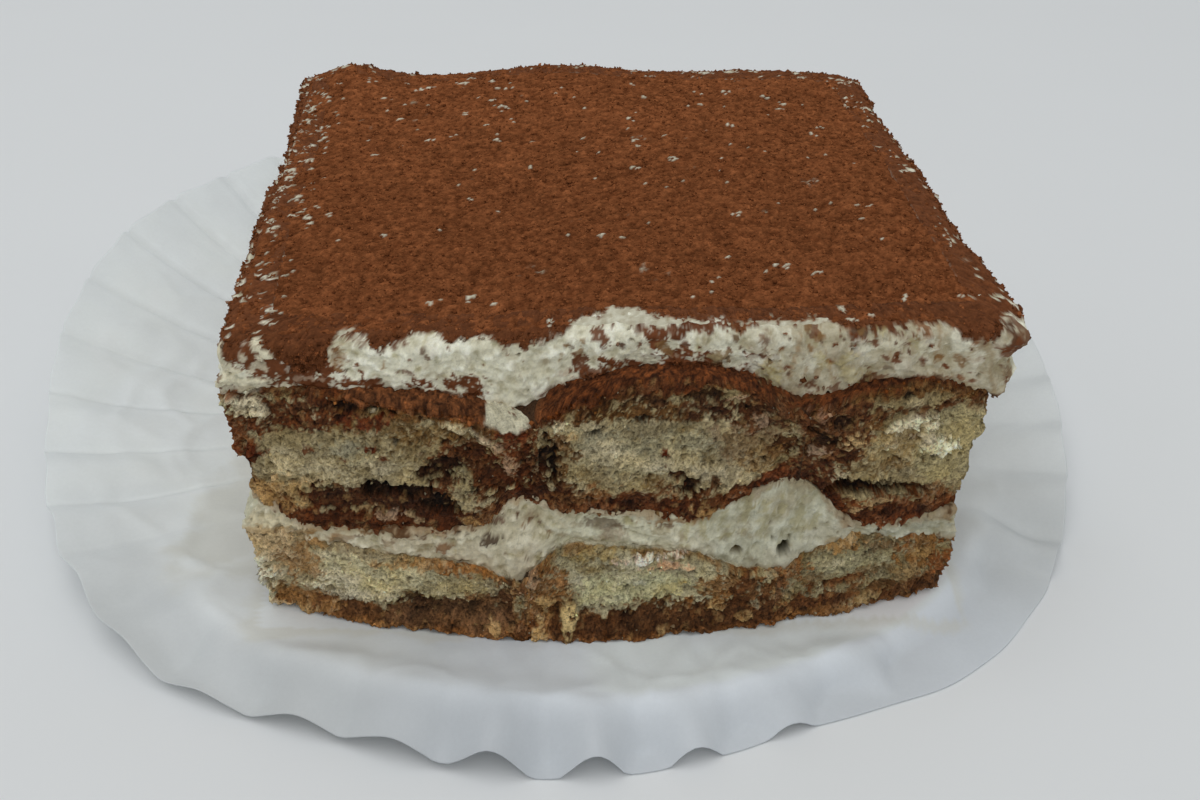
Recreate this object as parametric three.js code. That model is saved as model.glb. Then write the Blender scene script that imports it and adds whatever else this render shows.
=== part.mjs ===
// Tiramisu portion in a flattened fluted paper baking case. Millimetres, +Z up, front cut face towards -Y.
// Origin: the middle of the case's outline, on the surface that the case stands on.
//
// Three ladyfingers lie side by side along Y, then cream, then three more ladyfingers, then the top cream.
// The portion is cut on all four sides, so every layer runs through from face to face. The cut fingers stand
// a few millimetres proud of the cream in the middle of the front and back faces.
import * as THREE from 'three';

// ---- driving dimensions --------------------------------------------------------------------------------------
const CAKE_W = 75;            // cut width, left to right
const CAKE_D = 65.4;          // cut depth at the corners, front to back
const CAKE_TOP = 36.4;        // height of the top cream above the table, at the middle
const CAKE_X = 4;             // the portion stands off the middle of its case
const CAKE_Y = -7.5;
const GAP = 0.3;              // clearance between neighbouring layers

const CASE_R = 65;            // rim radius of the opened-out paper case
const CASE_BASE_R = 29;       // flat round bottom of the case
const CASE_FLUTES = 40;       // pleats round the wall
const PAPER = 0.6;            // thickness of the stand-in paper wall
const RIM_MEAN = 9.0;         // mean height of the rim above the table
const RIM_TILT = 5.2;         // the rim stands higher at the back left and lies lower at the front right
const RIM_TILT_AT = 115;      // direction of the high side, degrees from +X
const WALL_CURVE = 1.7;       // the wall leaves the base flat and steepens outwards
const FLUTE_FRONT = 2.3;      // pleat half height at the rim, where the pleats spring back in front
const FLUTE_REST = 1.1;       // and round the other sides, where they are pulled nearly flat
const FLUTE_CLEAR = 2.5;      // the weight of the portion keeps the pleats flat this far out from it
const FLUTE_GROW = 9;         // and they reach full height over this further distance

const SEAM_UP = [-8.6, 16.7]; // where the upper fingers meet, from the middle of the portion
const SEAM_LOW = [-10.2, 15.6];
const SEAM = 0.35;            // half the clearance between two fingers side by side
const FILM = 2.2;             // least distance between the two rows of fingers, for the cream and its clearances

// ---- small helpers -------------------------------------------------------------------------------------------
const clamp = (t, a = 0, b = 1) => Math.min(b, Math.max(a, t));
const smooth = (t) => { t = clamp(t); return t * t * (3 - 2 * t); };
const lerp = (a, b, t) => a + (b - a) * t;
const deg = Math.PI / 180;
const HW = CAKE_W / 2, HD = CAKE_D / 2;

// A closed body from a list of points and triangles.
function body(points, triangles) {
  const g = new THREE.BufferGeometry();
  g.setAttribute('position', new THREE.Float32BufferAttribute(points.flat(), 3));
  g.setIndex(triangles.flat());
  g.computeVertexNormals();
  return g;
}

// ---- the paper case ------------------------------------------------------------------------------------------
// Distance outside the portion's footprint, in the case's own frame.
const FOOT = { x0: CAKE_X - HW, x1: CAKE_X + HW, y0: CAKE_Y - HD - 5.2, y1: CAKE_Y + HD + 3.5 };
function outside(x, y) {
  const dx = Math.max(FOOT.x0 - x, 0, x - FOOT.x1), dy = Math.max(FOOT.y0 - y, 0, y - FOOT.y1);
  return Math.hypot(dx, dy);
}
const rimHeight = (a) => RIM_MEAN + RIM_TILT * Math.cos(a - RIM_TILT_AT * deg);
// Height of the paper's underside where the pleats are pressed flat.
function dish(x, y) {
  const r = Math.hypot(x, y), a = Math.atan2(y, x);
  const s = clamp((r - CASE_BASE_R) / (CASE_R - CASE_BASE_R), 0, 1.2);
  return rimHeight(a) * Math.pow(s, WALL_CURVE);
}
function flute(x, y) {
  const a = Math.atan2(y, x);
  const front = smooth((Math.cos(a + 90 * deg) - 0.1) / 0.7);
  const grow = smooth((outside(x, y) - FLUTE_CLEAR) / FLUTE_GROW);
  return lerp(FLUTE_REST, FLUTE_FRONT, front) * grow * Math.cos(CASE_FLUTES * a);
}
function paperCase() {
  const n = CASE_FLUTES * 4, rings = [CASE_BASE_R, 39, 49, 57.5, CASE_R];
  const p = [], t = [];
  const add = (x, y, z) => p.push([x, y, z]) - 1;
  const low0 = add(0, 0, 0), high0 = add(0, 0, PAPER);
  const low = [], high = [];
  for (const r of rings) {
    const lo = [], hi = [];
    for (let k = 0; k < n; k++) {
      const a = 2 * Math.PI * k / n, x = r * Math.cos(a), y = r * Math.sin(a);
      const z = r <= CASE_BASE_R ? 0 : dish(x, y) + flute(x, y);
      lo.push(add(x, y, z));
      hi.push(add(x, y, z + PAPER));
    }
    low.push(lo); high.push(hi);
  }
  for (let k = 0; k < n; k++) {
    const m = (k + 1) % n, e = rings.length - 1;
    t.push([low0, low[0][m], low[0][k]], [high0, high[0][k], high[0][m]]);
    for (let i = 0; i < e; i++) {
      t.push([low[i][k], low[i][m], low[i + 1][m]], [low[i][k], low[i + 1][m], low[i + 1][k]]);
      t.push([high[i][k], high[i + 1][m], high[i][m]], [high[i][k], high[i + 1][k], high[i + 1][m]]);
    }
    t.push([low[e][k], low[e][m], high[e][m]], [low[e][k], high[e][m], high[e][k]]);
  }
  return body(p, t);
}

// ---- the layers ----------------------------------------------------------------------------------------------
// All of these are in the portion's own frame: X from its middle, Y from its middle, Z above the table.
// A bump of the given height and half width.
const hump = (x, at, half, high) => high * Math.exp(-(((x - at) / half) ** 2));
// A ladyfinger's section: 1 along its middle, 0 at its two long edges.
const crown = (x, x0, x1, power = 2.6) => 1 - Math.pow(Math.abs((2 * x - x0 - x1) / (x1 - x0)), power);

// How far the cut face stands out in front and behind, in the middle of the width, for each layer.
const PROUD = { cream_top: 0.8, upper: 3.6, cream_middle: 3.6, lower: 4.7 };
const frontOf = (x, proud) => -HD - proud * (1 - (x / (HW + 1)) ** 2);
const backOf = (x, proud) => HD + 0.6 * proud * (1 - (x / (HW + 1)) ** 2);

const fingers = {
  lower: [[-HW + 0.4, SEAM_LOW[0] - SEAM], [SEAM_LOW[0] + SEAM, SEAM_LOW[1] - SEAM], [SEAM_LOW[1] + SEAM, HW - 2.2]],
  upper: [[-HW + 0.6, SEAM_UP[0] - SEAM], [SEAM_UP[0] + SEAM, SEAM_UP[1] - SEAM], [SEAM_UP[1] + SEAM, HW - 1.4]],
};
// Each finger's edge height and crown height, top side; and edge height and belly depth, underside.
const lowerTop = [{ a: 13.4, b: 9.4, crown: 1.6 }, { a: 9.8, b: 9.3, crown: 3.7 }, { a: 9.3, b: 10.3, crown: 1.9 }];
const upperTop = [{ a: 28.3, b: 26.6, crown: 2.4 }, { a: 26.9, b: 27.9, crown: 4.2 }, { a: 27.4, b: 26.6, crown: 1.3 }];
const upperBelly = [{ a: 18.2, b: 18.6, belly: 4.1 }, { a: 18.9, b: 21.4, belly: 3.2 }, { a: 20.6, b: 15.6, belly: 4.6 }];

// The tops and bellies drift a little along the length of the fingers.
const drift = (x, y, k) => 0.35 * Math.sin(y / 11 + k * 1.7 + x / 23) + 0.25 * Math.sin(y / 6.3 - k);
function spanOf(list, x) {
  let k = list.findIndex(([, b]) => x <= b + SEAM);
  return k < 0 ? list.length - 1 : k;
}
function topOf(row, list, x, y) {
  const k = spanOf(list, x), [x0, x1] = list[k], f = row[k];
  const t = clamp((x - x0) / (x1 - x0));
  return lerp(f.a, f.b, t) + f.crown * Math.max(0, crown(clamp(x, x0, x1), x0, x1)) + drift(x, y, k);
}
function bellyOf(row, list, x, y) {
  const k = spanOf(list, x), [x0, x1] = list[k], f = row[k];
  const t = clamp((x - x0) / (x1 - x0));
  return lerp(f.a, f.b, t) - f.belly * Math.max(0, crown(clamp(x, x0, x1), x0, x1, 3.2)) + drift(x, y, k + 4);
}
const zLowerTop = (x, y) => topOf(lowerTop, fingers.lower, x, y);
const zUpperTop = (x, y) => topOf(upperTop, fingers.upper, x, y);
// The upper fingers sag almost onto the lower ones, with a thin film of cream between them.
const zUpperBelly = (x, y) => Math.max(bellyOf(upperBelly, fingers.upper, x, y), zLowerTop(x, y) + FILM);
// The underside rests on the paper and turns up at the outer edges.
const zUnder = (x, y) => dish(x + CAKE_X, y + CAKE_Y) + PAPER + GAP
  + 0.5 * Math.pow(Math.abs(x / HW), 10) + 0.4 * Math.pow(Math.abs(y / (HD + 5)), 10);
// The spread top: a little higher behind, lower at the rim, with the spreader's slow waves.
const zTop = (x, y) => CAKE_TOP + 0.7 * (y / HD) + 0.35 * Math.cos(x / 8.5) + 0.25 * Math.sin(y / 9 + x / 14)
  + hump(x, -31, 5, 0.7) * smooth((y - 10) / 20) - 0.8 * Math.pow(Math.abs(x / HW), 6) - 0.5 * Math.pow(Math.abs(y / HD), 8);

// Stations across one finger, closer together towards its rounded edges.
const NX = 9;
const stations = ([x0, x1]) => Array.from({ length: NX + 1 }, (_, i) =>
  lerp(x0, x1, lerp(i / NX, 0.5 - 0.5 * Math.cos(Math.PI * i / NX), 0.55)));
// Stations across a cream layer are those of the fingers that it meets, out to its own two sides.
function across(list, x0, x1) {
  const xs = list.flatMap(stations);
  xs[0] = x0; xs[xs.length - 1] = x1;
  return xs;
}

// A layer between two height functions, over stations in X, from its front edge to its back edge.
// Its underside and its top may have stations of their own.
function layer({ low, high = low, front, back, bottom, top, ny }) {
  const p = [], t = [], lo = [], hi = [], nx = low.length - 1;
  const row = (x, height) => Array.from({ length: ny + 1 }, (_, j) => {
    const y = lerp(front(x), back(x), j / ny);
    return p.push([x, y, height(x, y)]) - 1;
  });
  for (let i = 0; i <= nx; i++) {
    lo.push(row(low[i], bottom));
    hi.push(row(high[i], top));
  }
  const quad = (a, b, c, d) => t.push([a, b, c], [a, c, d]);
  for (let i = 0; i < nx; i++) for (let j = 0; j < ny; j++) {
    quad(hi[i][j], hi[i + 1][j], hi[i + 1][j + 1], hi[i][j + 1]);
    quad(lo[i][j], lo[i][j + 1], lo[i + 1][j + 1], lo[i + 1][j]);
  }
  for (let i = 0; i < nx; i++) {
    quad(lo[i][0], lo[i + 1][0], hi[i + 1][0], hi[i][0]);
    quad(lo[i + 1][ny], lo[i][ny], hi[i][ny], hi[i + 1][ny]);
  }
  for (let j = 0; j < ny; j++) {
    quad(lo[0][j + 1], lo[0][j], hi[0][j], hi[0][j + 1]);
    quad(lo[nx][j], lo[nx][j + 1], hi[nx][j + 1], hi[nx][j]);
  }
  return body(p, t);
}

// ---- assembly ------------------------------------------------------------------------------------------------
const looks = {
  paper: { color: 0xe9ebe8, roughness: 0.55 },
  cream: { color: 0xe8e2cc, roughness: 0.45 },
  sponge: { color: 0xb59a62, roughness: 0.9 },
};
function mesh(name, geometry, look) {
  const m = new THREE.Mesh(geometry, new THREE.MeshStandardMaterial({ metalness: 0, ...looks[look] }));
  m.name = name;
  return m;
}

const sides = ['left', 'middle', 'right'];
const cake = new THREE.Group();
cake.position.set(CAKE_X, CAKE_Y, 0);

const BITE = GAP + 0.08;   // clearance where two curved layers are faceted a little differently
sides.forEach((side, k) => {
  cake.add(mesh(`ladyfinger_lower_${side}`, layer({
    low: stations(fingers.lower[k]), ny: 10,
    front: (x) => frontOf(x, PROUD.lower), back: (x) => backOf(x, PROUD.lower),
    bottom: zUnder, top: zLowerTop,
  }), 'sponge'));
});
cake.add(mesh('cream_middle', layer({
  low: across(fingers.lower, -HW + 0.9, HW - 1.9), high: across(fingers.upper, -HW + 0.9, HW - 1.9), ny: 10,
  front: (x) => frontOf(x, PROUD.cream_middle), back: (x) => backOf(x, PROUD.cream_middle),
  bottom: (x, y) => zLowerTop(x, y) + BITE, top: (x, y) => zUpperBelly(x, y) - BITE,
}), 'cream'));
sides.forEach((side, k) => {
  cake.add(mesh(`ladyfinger_upper_${side}`, layer({
    low: stations(fingers.upper[k]), ny: 10,
    front: (x) => frontOf(x, PROUD.upper), back: (x) => backOf(x, PROUD.upper),
    bottom: zUpperBelly, top: zUpperTop,
  }), 'sponge'));
});
cake.add(mesh('cream_top', layer({
  low: across(fingers.upper, -HW, HW), ny: 12,
  front: (x) => frontOf(x, PROUD.cream_top), back: (x) => backOf(x, PROUD.cream_top),
  bottom: (x, y) => zUpperTop(x, y) + BITE, top: zTop,
}), 'cream'));

const paper = mesh('paper_case', paperCase(), 'paper');
const part = new THREE.Group();
part.add(paper, cake);

export default part;
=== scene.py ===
"""Tiramisu portion in a flattened fluted paper case: the looks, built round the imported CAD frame. Blender 4.5.

Everything is made in millimetres in the row's frame and scaled to metres when a mesh is written. The portion's own
coordinates X, Y start at its middle, which lies at (CX, CY) in the row's frame. Z is height above the table.
"""

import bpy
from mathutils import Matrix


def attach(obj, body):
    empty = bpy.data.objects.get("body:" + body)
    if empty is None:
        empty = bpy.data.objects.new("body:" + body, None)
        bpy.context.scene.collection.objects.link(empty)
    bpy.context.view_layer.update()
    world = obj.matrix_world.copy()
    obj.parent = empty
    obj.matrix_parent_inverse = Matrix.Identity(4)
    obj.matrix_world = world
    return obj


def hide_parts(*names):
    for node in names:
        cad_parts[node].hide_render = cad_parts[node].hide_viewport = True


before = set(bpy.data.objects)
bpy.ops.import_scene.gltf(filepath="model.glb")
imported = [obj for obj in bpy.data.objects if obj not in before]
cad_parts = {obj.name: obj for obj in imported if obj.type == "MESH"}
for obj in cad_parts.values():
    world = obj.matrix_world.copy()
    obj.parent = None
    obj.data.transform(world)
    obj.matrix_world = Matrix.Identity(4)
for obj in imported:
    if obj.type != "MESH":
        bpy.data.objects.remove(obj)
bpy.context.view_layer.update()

import math
import bpy
import numpy as np
from mathutils import Matrix, Vector

MM = 0.001
CX, CY = 4.0, -7.5            # the portion's middle in the row's frame
HW, HD = 37.5, 32.7           # half its width, and half its depth at the corners
FINE = 1.0

# ------------------------------------------------------------------------------------------------ camera
CAM_AT = (-6.36, -134.3, 93.15)
PITCH, YAW, ROLL = 0.607, 0.087, 0.024
FOCAL_PX = 1195.0


def make_camera():
    cy, sy, cp, sp = math.cos(YAW), math.sin(YAW), math.cos(PITCH), math.sin(PITCH)
    fwd = Vector((sy * cp, cy * cp, -sp))
    right = Vector((cy, -sy, 0.0))
    up = right.cross(fwd)
    c, s = math.cos(ROLL), math.sin(ROLL)
    r2, u2 = c * right + s * up, -s * right + c * up
    m = Matrix((r2, u2, -fwd)).transposed().to_4x4()
    m.translation = Vector(CAM_AT) * MM
    data = bpy.data.cameras.new("camera")
    data.sensor_width, data.sensor_fit = 36.0, "HORIZONTAL"
    data.lens = 36.0 * FOCAL_PX / 1200.0
    data.clip_start, data.clip_end = 0.005, 10.0
    cam = bpy.data.objects.new("camera", data)
    cam.matrix_world = m
    bpy.context.scene.collection.objects.link(cam)
    bpy.context.scene.camera = cam


make_camera()


# ------------------------------------------------------------------------------------------------ noise
class Lattice:
    """Seeded gradient noise and cell noise at any points, in units of one cell."""

    def __init__(self, seed):
        r = np.random.RandomState(seed)
        p = r.permutation(256)
        self.perm = np.concatenate([p, p]).astype(np.int32)
        g = r.normal(size=(256, 3))
        self.grad = (g / np.linalg.norm(g, axis=1, keepdims=True)).astype(np.float32)
        self.jit = r.uniform(0.08, 0.92, size=(256, 3)).astype(np.float32)
        self.val = r.uniform(size=256).astype(np.float32)

    def hash(self, i, j, k):
        p = self.perm
        return p[p[p[i & 255] + (j & 255)] + (k & 255)]

    def noise(self, q):
        q = np.asarray(q, np.float32)
        f0 = np.floor(q)
        i, f = f0.astype(np.int32), q - f0
        u = f * f * f * (f * (f * 6 - 15) + 10)
        out = 0
        for a in (0, 1):
            wa = u[:, 0] if a else 1 - u[:, 0]
            for b in (0, 1):
                wb = wa * (u[:, 1] if b else 1 - u[:, 1])
                for c in (0, 1):
                    w = wb * (u[:, 2] if c else 1 - u[:, 2])
                    g = self.grad[self.hash(i[:, 0] + a, i[:, 1] + b, i[:, 2] + c)]
                    d = g[:, 0] * (f[:, 0] - a) + g[:, 1] * (f[:, 1] - b) + g[:, 2] * (f[:, 2] - c)
                    out = out + w * d
        return out * 1.7

    def cells(self, q):
        """(distance to the nearest cell point, to the second nearest, the nearest one's own number)."""
        q = np.asarray(q, np.float32)
        f0 = np.floor(q)
        i, f = f0.astype(np.int32), q - f0
        n = len(q)
        f1, f2, who = np.full(n, 9.0, np.float32), np.full(n, 9.0, np.float32), np.zeros(n, np.int32)
        for a in (-1, 0, 1):
            for b in (-1, 0, 1):
                for c in (-1, 0, 1):
                    h = self.hash(i[:, 0] + a, i[:, 1] + b, i[:, 2] + c)
                    j = self.jit[h]
                    d = (j[:, 0] + a - f[:, 0]) ** 2 + (j[:, 1] + b - f[:, 1]) ** 2 + (j[:, 2] + c - f[:, 2]) ** 2
                    near = d < f1
                    f2 = np.where(near, f1, np.minimum(f2, d))
                    who = np.where(near, h, who)
                    f1 = np.where(near, d, f1)
        return np.sqrt(f1), np.sqrt(f2), self.val[who]


_lattices = {}


def lattice(seed):
    if seed not in _lattices:
        _lattices[seed] = Lattice(seed)
    return _lattices[seed]


def fbm(p, size, octaves=4, gain=0.5, seed=1):
    """Fractal noise, about -1 to 1. size is the largest lump, in mm, or one size for each axis."""
    q = np.asarray(p, np.float32) / np.asarray(size, np.float32)
    out, amp, total = 0, 1.0, 0.0
    for k in range(octaves):
        out = out + amp * lattice(seed + k).noise(q * 2.03 ** k + 17.3 * k)
        total += amp * amp
        amp *= gain
    return out / math.sqrt(total)


def cells(p, size, seed=1):
    return lattice(seed).cells(np.asarray(p, np.float32) / np.asarray(size, np.float32))


def clamp(t, a=0.0, b=1.0):
    return np.minimum(b, np.maximum(a, t))


def smooth(t):
    t = clamp(t)
    return t * t * (3 - 2 * t)


def lerp(a, b, t):
    return a + (b - a) * t


def mix(a, b, t):
    """Colours a and b (n, 3) or (3,) mixed by t (n,)."""
    t = clamp(t)[:, None]
    return np.asarray(a) * (1 - t) + np.asarray(b) * t


def srgb(r, g, b, k=1.0):
    """A colour in 0 to 255 display numbers as linear light, times k."""
    c = np.array([r, g, b]) / 255.0
    return np.where(c < 0.04045, c / 12.92, ((c + 0.055) / 1.055) ** 2.4) * k


def ramp(x, *points):
    """A smooth line through (x, y) points."""
    px, py = np.array(points, float).T
    # cubic through the points, with slopes that never overshoot
    h = np.diff(px)
    d = np.diff(py) / h
    m = np.zeros_like(px)
    m[0], m[-1] = d[0], d[-1]
    same = d[:-1] * d[1:] > 0
    w1, w2 = 2 * h[1:] + h[:-1], h[1:] + 2 * h[:-1]
    with np.errstate(divide="ignore", invalid="ignore"):
        m[1:-1] = np.where(same, (w1 + w2) / (w1 / d[:-1] + w2 / d[1:]), 0.0)
    x = np.clip(x, px[0], px[-1])
    i = np.clip(np.searchsorted(px, x, side="right") - 1, 0, len(px) - 2)
    t = (x - px[i]) / h[i]
    a, b, c, e = (1 + 2 * t) * (1 - t) ** 2, t * (1 - t) ** 2, t * t * (3 - 2 * t), t * t * (t - 1)
    return a * py[i] + b * h[i] * m[i] + c * py[i + 1] + e * h[i] * m[i + 1]


# ------------------------------------------------------------------------------------------------ meshes
def write_mesh(name, verts, quads, tris, col, uv_quads=None, uv_tris=None, extra=None, material=None):
    """A mesh object from numpy arrays, in mm in the row's frame, with its colour as a point attribute."""
    me = bpy.data.meshes.new(name)
    nv, nq, nt = len(verts), len(quads), len(tris)
    me.vertices.add(nv)
    me.vertices.foreach_set("co", (np.asarray(verts, np.float32) * MM).ravel())
    loops = np.concatenate([np.asarray(quads, np.int32).ravel(), np.asarray(tris, np.int32).ravel()])
    me.loops.add(len(loops))
    me.loops.foreach_set("vertex_index", loops)
    starts = np.concatenate([np.arange(nq) * 4, nq * 4 + np.arange(nt) * 3]).astype(np.int32)
    me.polygons.add(nq + nt)
    me.polygons.foreach_set("loop_start", starts)
    me.polygons.foreach_set("use_smooth", np.ones(nq + nt, bool))
    if uv_quads is not None:
        uv = me.uv_layers.new(name="OFBake")
        flat = [np.asarray(uv_quads, np.float32).reshape(-1, 2)]
        if nt:
            flat.append(np.asarray(uv_tris, np.float32).reshape(-1, 2))
        uv.data.foreach_set("uv", np.concatenate(flat).ravel())
    at = me.attributes.new("Col", "FLOAT_COLOR", "POINT")
    at.data.foreach_set("color", np.c_[np.clip(col, 0, 1), np.ones(nv)].astype(np.float32).ravel())
    for key, values in (extra or {}).items():
        a = me.attributes.new(key, "FLOAT", "POINT")
        a.data.foreach_set("value", np.asarray(values, np.float32))
    me.update(calc_edges=True)
    me.validate(clean_customdata=False)
    ob = bpy.data.objects.new(name, me)
    bpy.context.scene.collection.objects.link(ob)
    if material:
        me.materials.append(material)
    return ob


def lattice_faces(rows, cols, wrap):
    """Quads of a grid of vertices, row by row, with their (row, column) places."""
    r, c = np.meshgrid(np.arange(rows - 1), np.arange(cols if wrap else cols - 1), indexing="ij")
    r, c = r.ravel(), c.ravel()
    d = (c + 1) % cols
    return np.stack([r * cols + c, r * cols + d, (r + 1) * cols + d, (r + 1) * cols + c], 1), r, c


# ------------------------------------------------------------------------------------------------ materials
def new_material(name):
    m = bpy.data.materials.new(name)
    m.use_nodes = True
    nt = m.node_tree
    nt.nodes.clear()
    out = nt.nodes.new("ShaderNodeOutputMaterial")
    bsdf = nt.nodes.new("ShaderNodeBsdfPrincipled")
    nt.links.new(bsdf.outputs[0], out.inputs[0])
    return m, nt, bsdf


def node(nt, kind, **props):
    n = nt.nodes.new(kind)
    for key, value in props.items():
        setattr(n, key, value)
    return n


def noise_node(nt, co, scale, detail=3.0, rough=0.55, dist=0.0):
    n = node(nt, "ShaderNodeTexNoise")
    n.inputs["Scale"].default_value = scale
    n.inputs["Detail"].default_value = detail
    n.inputs["Roughness"].default_value = rough
    n.inputs["Distortion"].default_value = dist
    nt.links.new(co, n.inputs["Vector"])
    return n.outputs["Fac"]


def cell_node(nt, co, scale, feature="F1"):
    n = node(nt, "ShaderNodeTexVoronoi", feature=feature)
    n.inputs["Scale"].default_value = scale
    nt.links.new(co, n.inputs["Vector"])
    return n.outputs["Distance"]


def map_range(nt, value, a, b, c, d):
    n = node(nt, "ShaderNodeMapRange")
    nt.links.new(value, n.inputs["Value"])
    for key, v in zip(("From Min", "From Max", "To Min", "To Max"), (a, b, c, d)):
        n.inputs[key].default_value = v
    return n.outputs["Result"]


def maths(nt, op, a, b=None):
    n = node(nt, "ShaderNodeMath", operation=op)
    for k, v in enumerate((a, b)):
        if v is None:
            continue
        if isinstance(v, (int, float)):
            n.inputs[k].default_value = v
        else:
            nt.links.new(v, n.inputs[k])
    return n.outputs[0]


def shade_colour(nt, colour, factor):
    """colour times factor, channel by channel."""
    n = node(nt, "ShaderNodeMix", data_type="RGBA", blend_type="MULTIPLY")
    n.inputs["Factor"].default_value = 1.0
    nt.links.new(colour, n.inputs["A"])
    nt.links.new(factor, n.inputs["B"])
    return n.outputs["Result"]


def blend_colour(nt, a, b, fac):
    n = node(nt, "ShaderNodeMix", data_type="RGBA", blend_type="MIX")
    for key, v in (("A", a), ("B", b), ("Factor", fac)):
        sock = n.inputs[key]
        if isinstance(v, (tuple, list, np.ndarray)):
            sock.default_value = (*[float(c) for c in v[:3]], 1.0)
        elif isinstance(v, (int, float)):
            sock.default_value = v
        else:
            nt.links.new(v, sock)
    return n.outputs["Result"]


def bump(nt, height, strength, distance_mm, before=None):
    n = node(nt, "ShaderNodeBump")
    n.inputs["Strength"].default_value = strength
    n.inputs["Distance"].default_value = distance_mm * MM
    nt.links.new(height, n.inputs["Height"])
    if before is not None:
        nt.links.new(before, n.inputs["Normal"])
    return n.outputs["Normal"]


def food_material(name, grain_mm, grain_depth, vary, rough, sss=0.0, sss_mm=1.0, spec=0.35, wet_rough=None, calm=0.0, specks=0.0):
    """Colour from the piece's own masks, broken up by fine noise in the shader, with matching relief. Where the mask
    "tex" is 0 the noise has only the share calm of its strength."""
    m, nt, b = new_material(name)
    co = node(nt, "ShaderNodeTexCoord").outputs["Object"]
    col = node(nt, "ShaderNodeAttribute", attribute_name="Col").outputs["Color"]
    tex = map_range(nt, node(nt, "ShaderNodeAttribute", attribute_name="tex").outputs["Fac"], 0, 1, calm, 1)
    fine = noise_node(nt, co, 1000.0 / grain_mm, 2.5, 0.6)
    coarse = noise_node(nt, co, 1000.0 / (grain_mm * 3.2), 3.0, 0.6)
    tone = maths(nt, "MULTIPLY", map_range(nt, fine, 0.28, 0.72, -vary, vary), tex)
    tone = maths(nt, "ADD", tone, maths(nt, "MULTIPLY", map_range(nt, coarse, 0.32, 0.68, -vary * 0.7, vary * 0.7), tex))
    c = shade_colour(nt, col, maths(nt, "ADD", tone, 1.0))
    if specks:
        gaps = map_range(nt, noise_node(nt, co, 2300.0, 2.0, 0.6, 0.3), 0.33, 0.43, 1, 0)
        where = map_range(nt, noise_node(nt, co, 330.0, 3.0, 0.6), 0.40, 0.58, 0.15, 1)
        c = blend_colour(nt, c, shade_colour(nt, c, maths(nt, "ADD", maths(nt, "MULTIPLY", tex, 0.0), 0.42)), maths(nt, "MULTIPLY", maths(nt, "MULTIPLY", gaps, where), maths(nt, "MULTIPLY", tex, specks)))
    nt.links.new(c, b.inputs["Base Color"])
    wet = node(nt, "ShaderNodeAttribute", attribute_name="wet").outputs["Fac"]
    r = maths(nt, "ADD", map_range(nt, wet, 0, 1, rough, rough if wet_rough is None else wet_rough),
              map_range(nt, fine, 0.2, 0.8, -0.06, 0.06))
    nt.links.new(r, b.inputs["Roughness"])
    b.inputs["Specular IOR Level"].default_value = spec
    if sss:
        b.inputs["Subsurface Weight"].default_value = sss
        b.inputs["Subsurface Scale"].default_value = sss_mm * MM
        b.inputs["Subsurface Radius"].default_value = (1.0, 0.8, 0.5)
    height = maths(nt, "MULTIPLY", maths(nt, "ADD", fine, maths(nt, "MULTIPLY", coarse, 1.6)), tex)
    nt.links.new(bump(nt, height, 0.8, grain_depth), b.inputs["Normal"])
    return m


def crumb_material():
    """Sponge: raised threads painted lighter as highlight and sunken pits painted darker as shade, a third of a
    millimetre apart, on the colour from the piece's own masks.
    """
    m, nt, b = new_material("ladyfinger crumb")
    co = node(nt, "ShaderNodeTexCoord").outputs["Object"]
    col = node(nt, "ShaderNodeAttribute", attribute_name="Col").outputs["Color"]
    tex = node(nt, "ShaderNodeAttribute", attribute_name="tex").outputs["Fac"]
    wet = node(nt, "ShaderNodeAttribute", attribute_name="wet").outputs["Fac"]
    a = noise_node(nt, co, 3300.0, 2.0, 0.6, 0.4)
    ridge = map_range(nt, maths(nt, "ABSOLUTE", maths(nt, "SUBTRACT", a, 0.5)), 0.0, 0.085, 1, 0)
    p = noise_node(nt, co, 3900.0, 2.0, 0.65, 0.3)
    pit = map_range(nt, p, 0.36, 0.47, 1, 0)
    patchy = map_range(nt, noise_node(nt, co, 520.0, 3.0, 0.6), 0.36, 0.6, 0.15, 1.0)
    # painted highlight: a lightened copy of the colour on the raised threads
    light = blend_colour(nt, shade_colour(nt, col, maths(nt, "ADD", maths(nt, "MULTIPLY", wet, 0.4), 1.50)), (0.32, 0.25, 0.16), 0.07)
    c = blend_colour(nt, col, light, maths(nt, "MULTIPLY", maths(nt, "MULTIPLY", ridge, tex), maths(nt, "MULTIPLY", patchy, 0.72)))
    # painted shade: a darkened copy of the colour in the sunken pits
    dark = shade_colour(nt, c, maths(nt, "SUBTRACT", 0.46, maths(nt, "MULTIPLY", wet, 0.14)))
    c = blend_colour(nt, c, dark, maths(nt, "MULTIPLY", maths(nt, "MULTIPLY", pit, tex), 0.78))
    fine = noise_node(nt, co, 7000.0, 2.0, 0.6)
    nt.links.new(shade_colour(nt, c, map_range(nt, fine, 0.3, 0.7, 0.84, 1.16)), b.inputs["Base Color"])
    nt.links.new(maths(nt, "ADD", map_range(nt, wet, 0, 1, 0.9, 0.55), map_range(nt, fine, 0.2, 0.8, -0.06, 0.06)), b.inputs["Roughness"])
    b.inputs["Specular IOR Level"].default_value = 0.16
    b.inputs["Subsurface Weight"].default_value = 0.05
    b.inputs["Subsurface Scale"].default_value = 0.4 * MM
    b.inputs["Subsurface Radius"].default_value = (1.0, 0.8, 0.5)
    h = maths(nt, "SUBTRACT", maths(nt, "ADD", maths(nt, "MULTIPLY", ridge, 0.7), maths(nt, "MULTIPLY", fine, 0.5)), pit)
    nt.links.new(bump(nt, maths(nt, "MULTIPLY", h, tex), 0.9, 0.09), b.inputs["Normal"])
    return m


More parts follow.
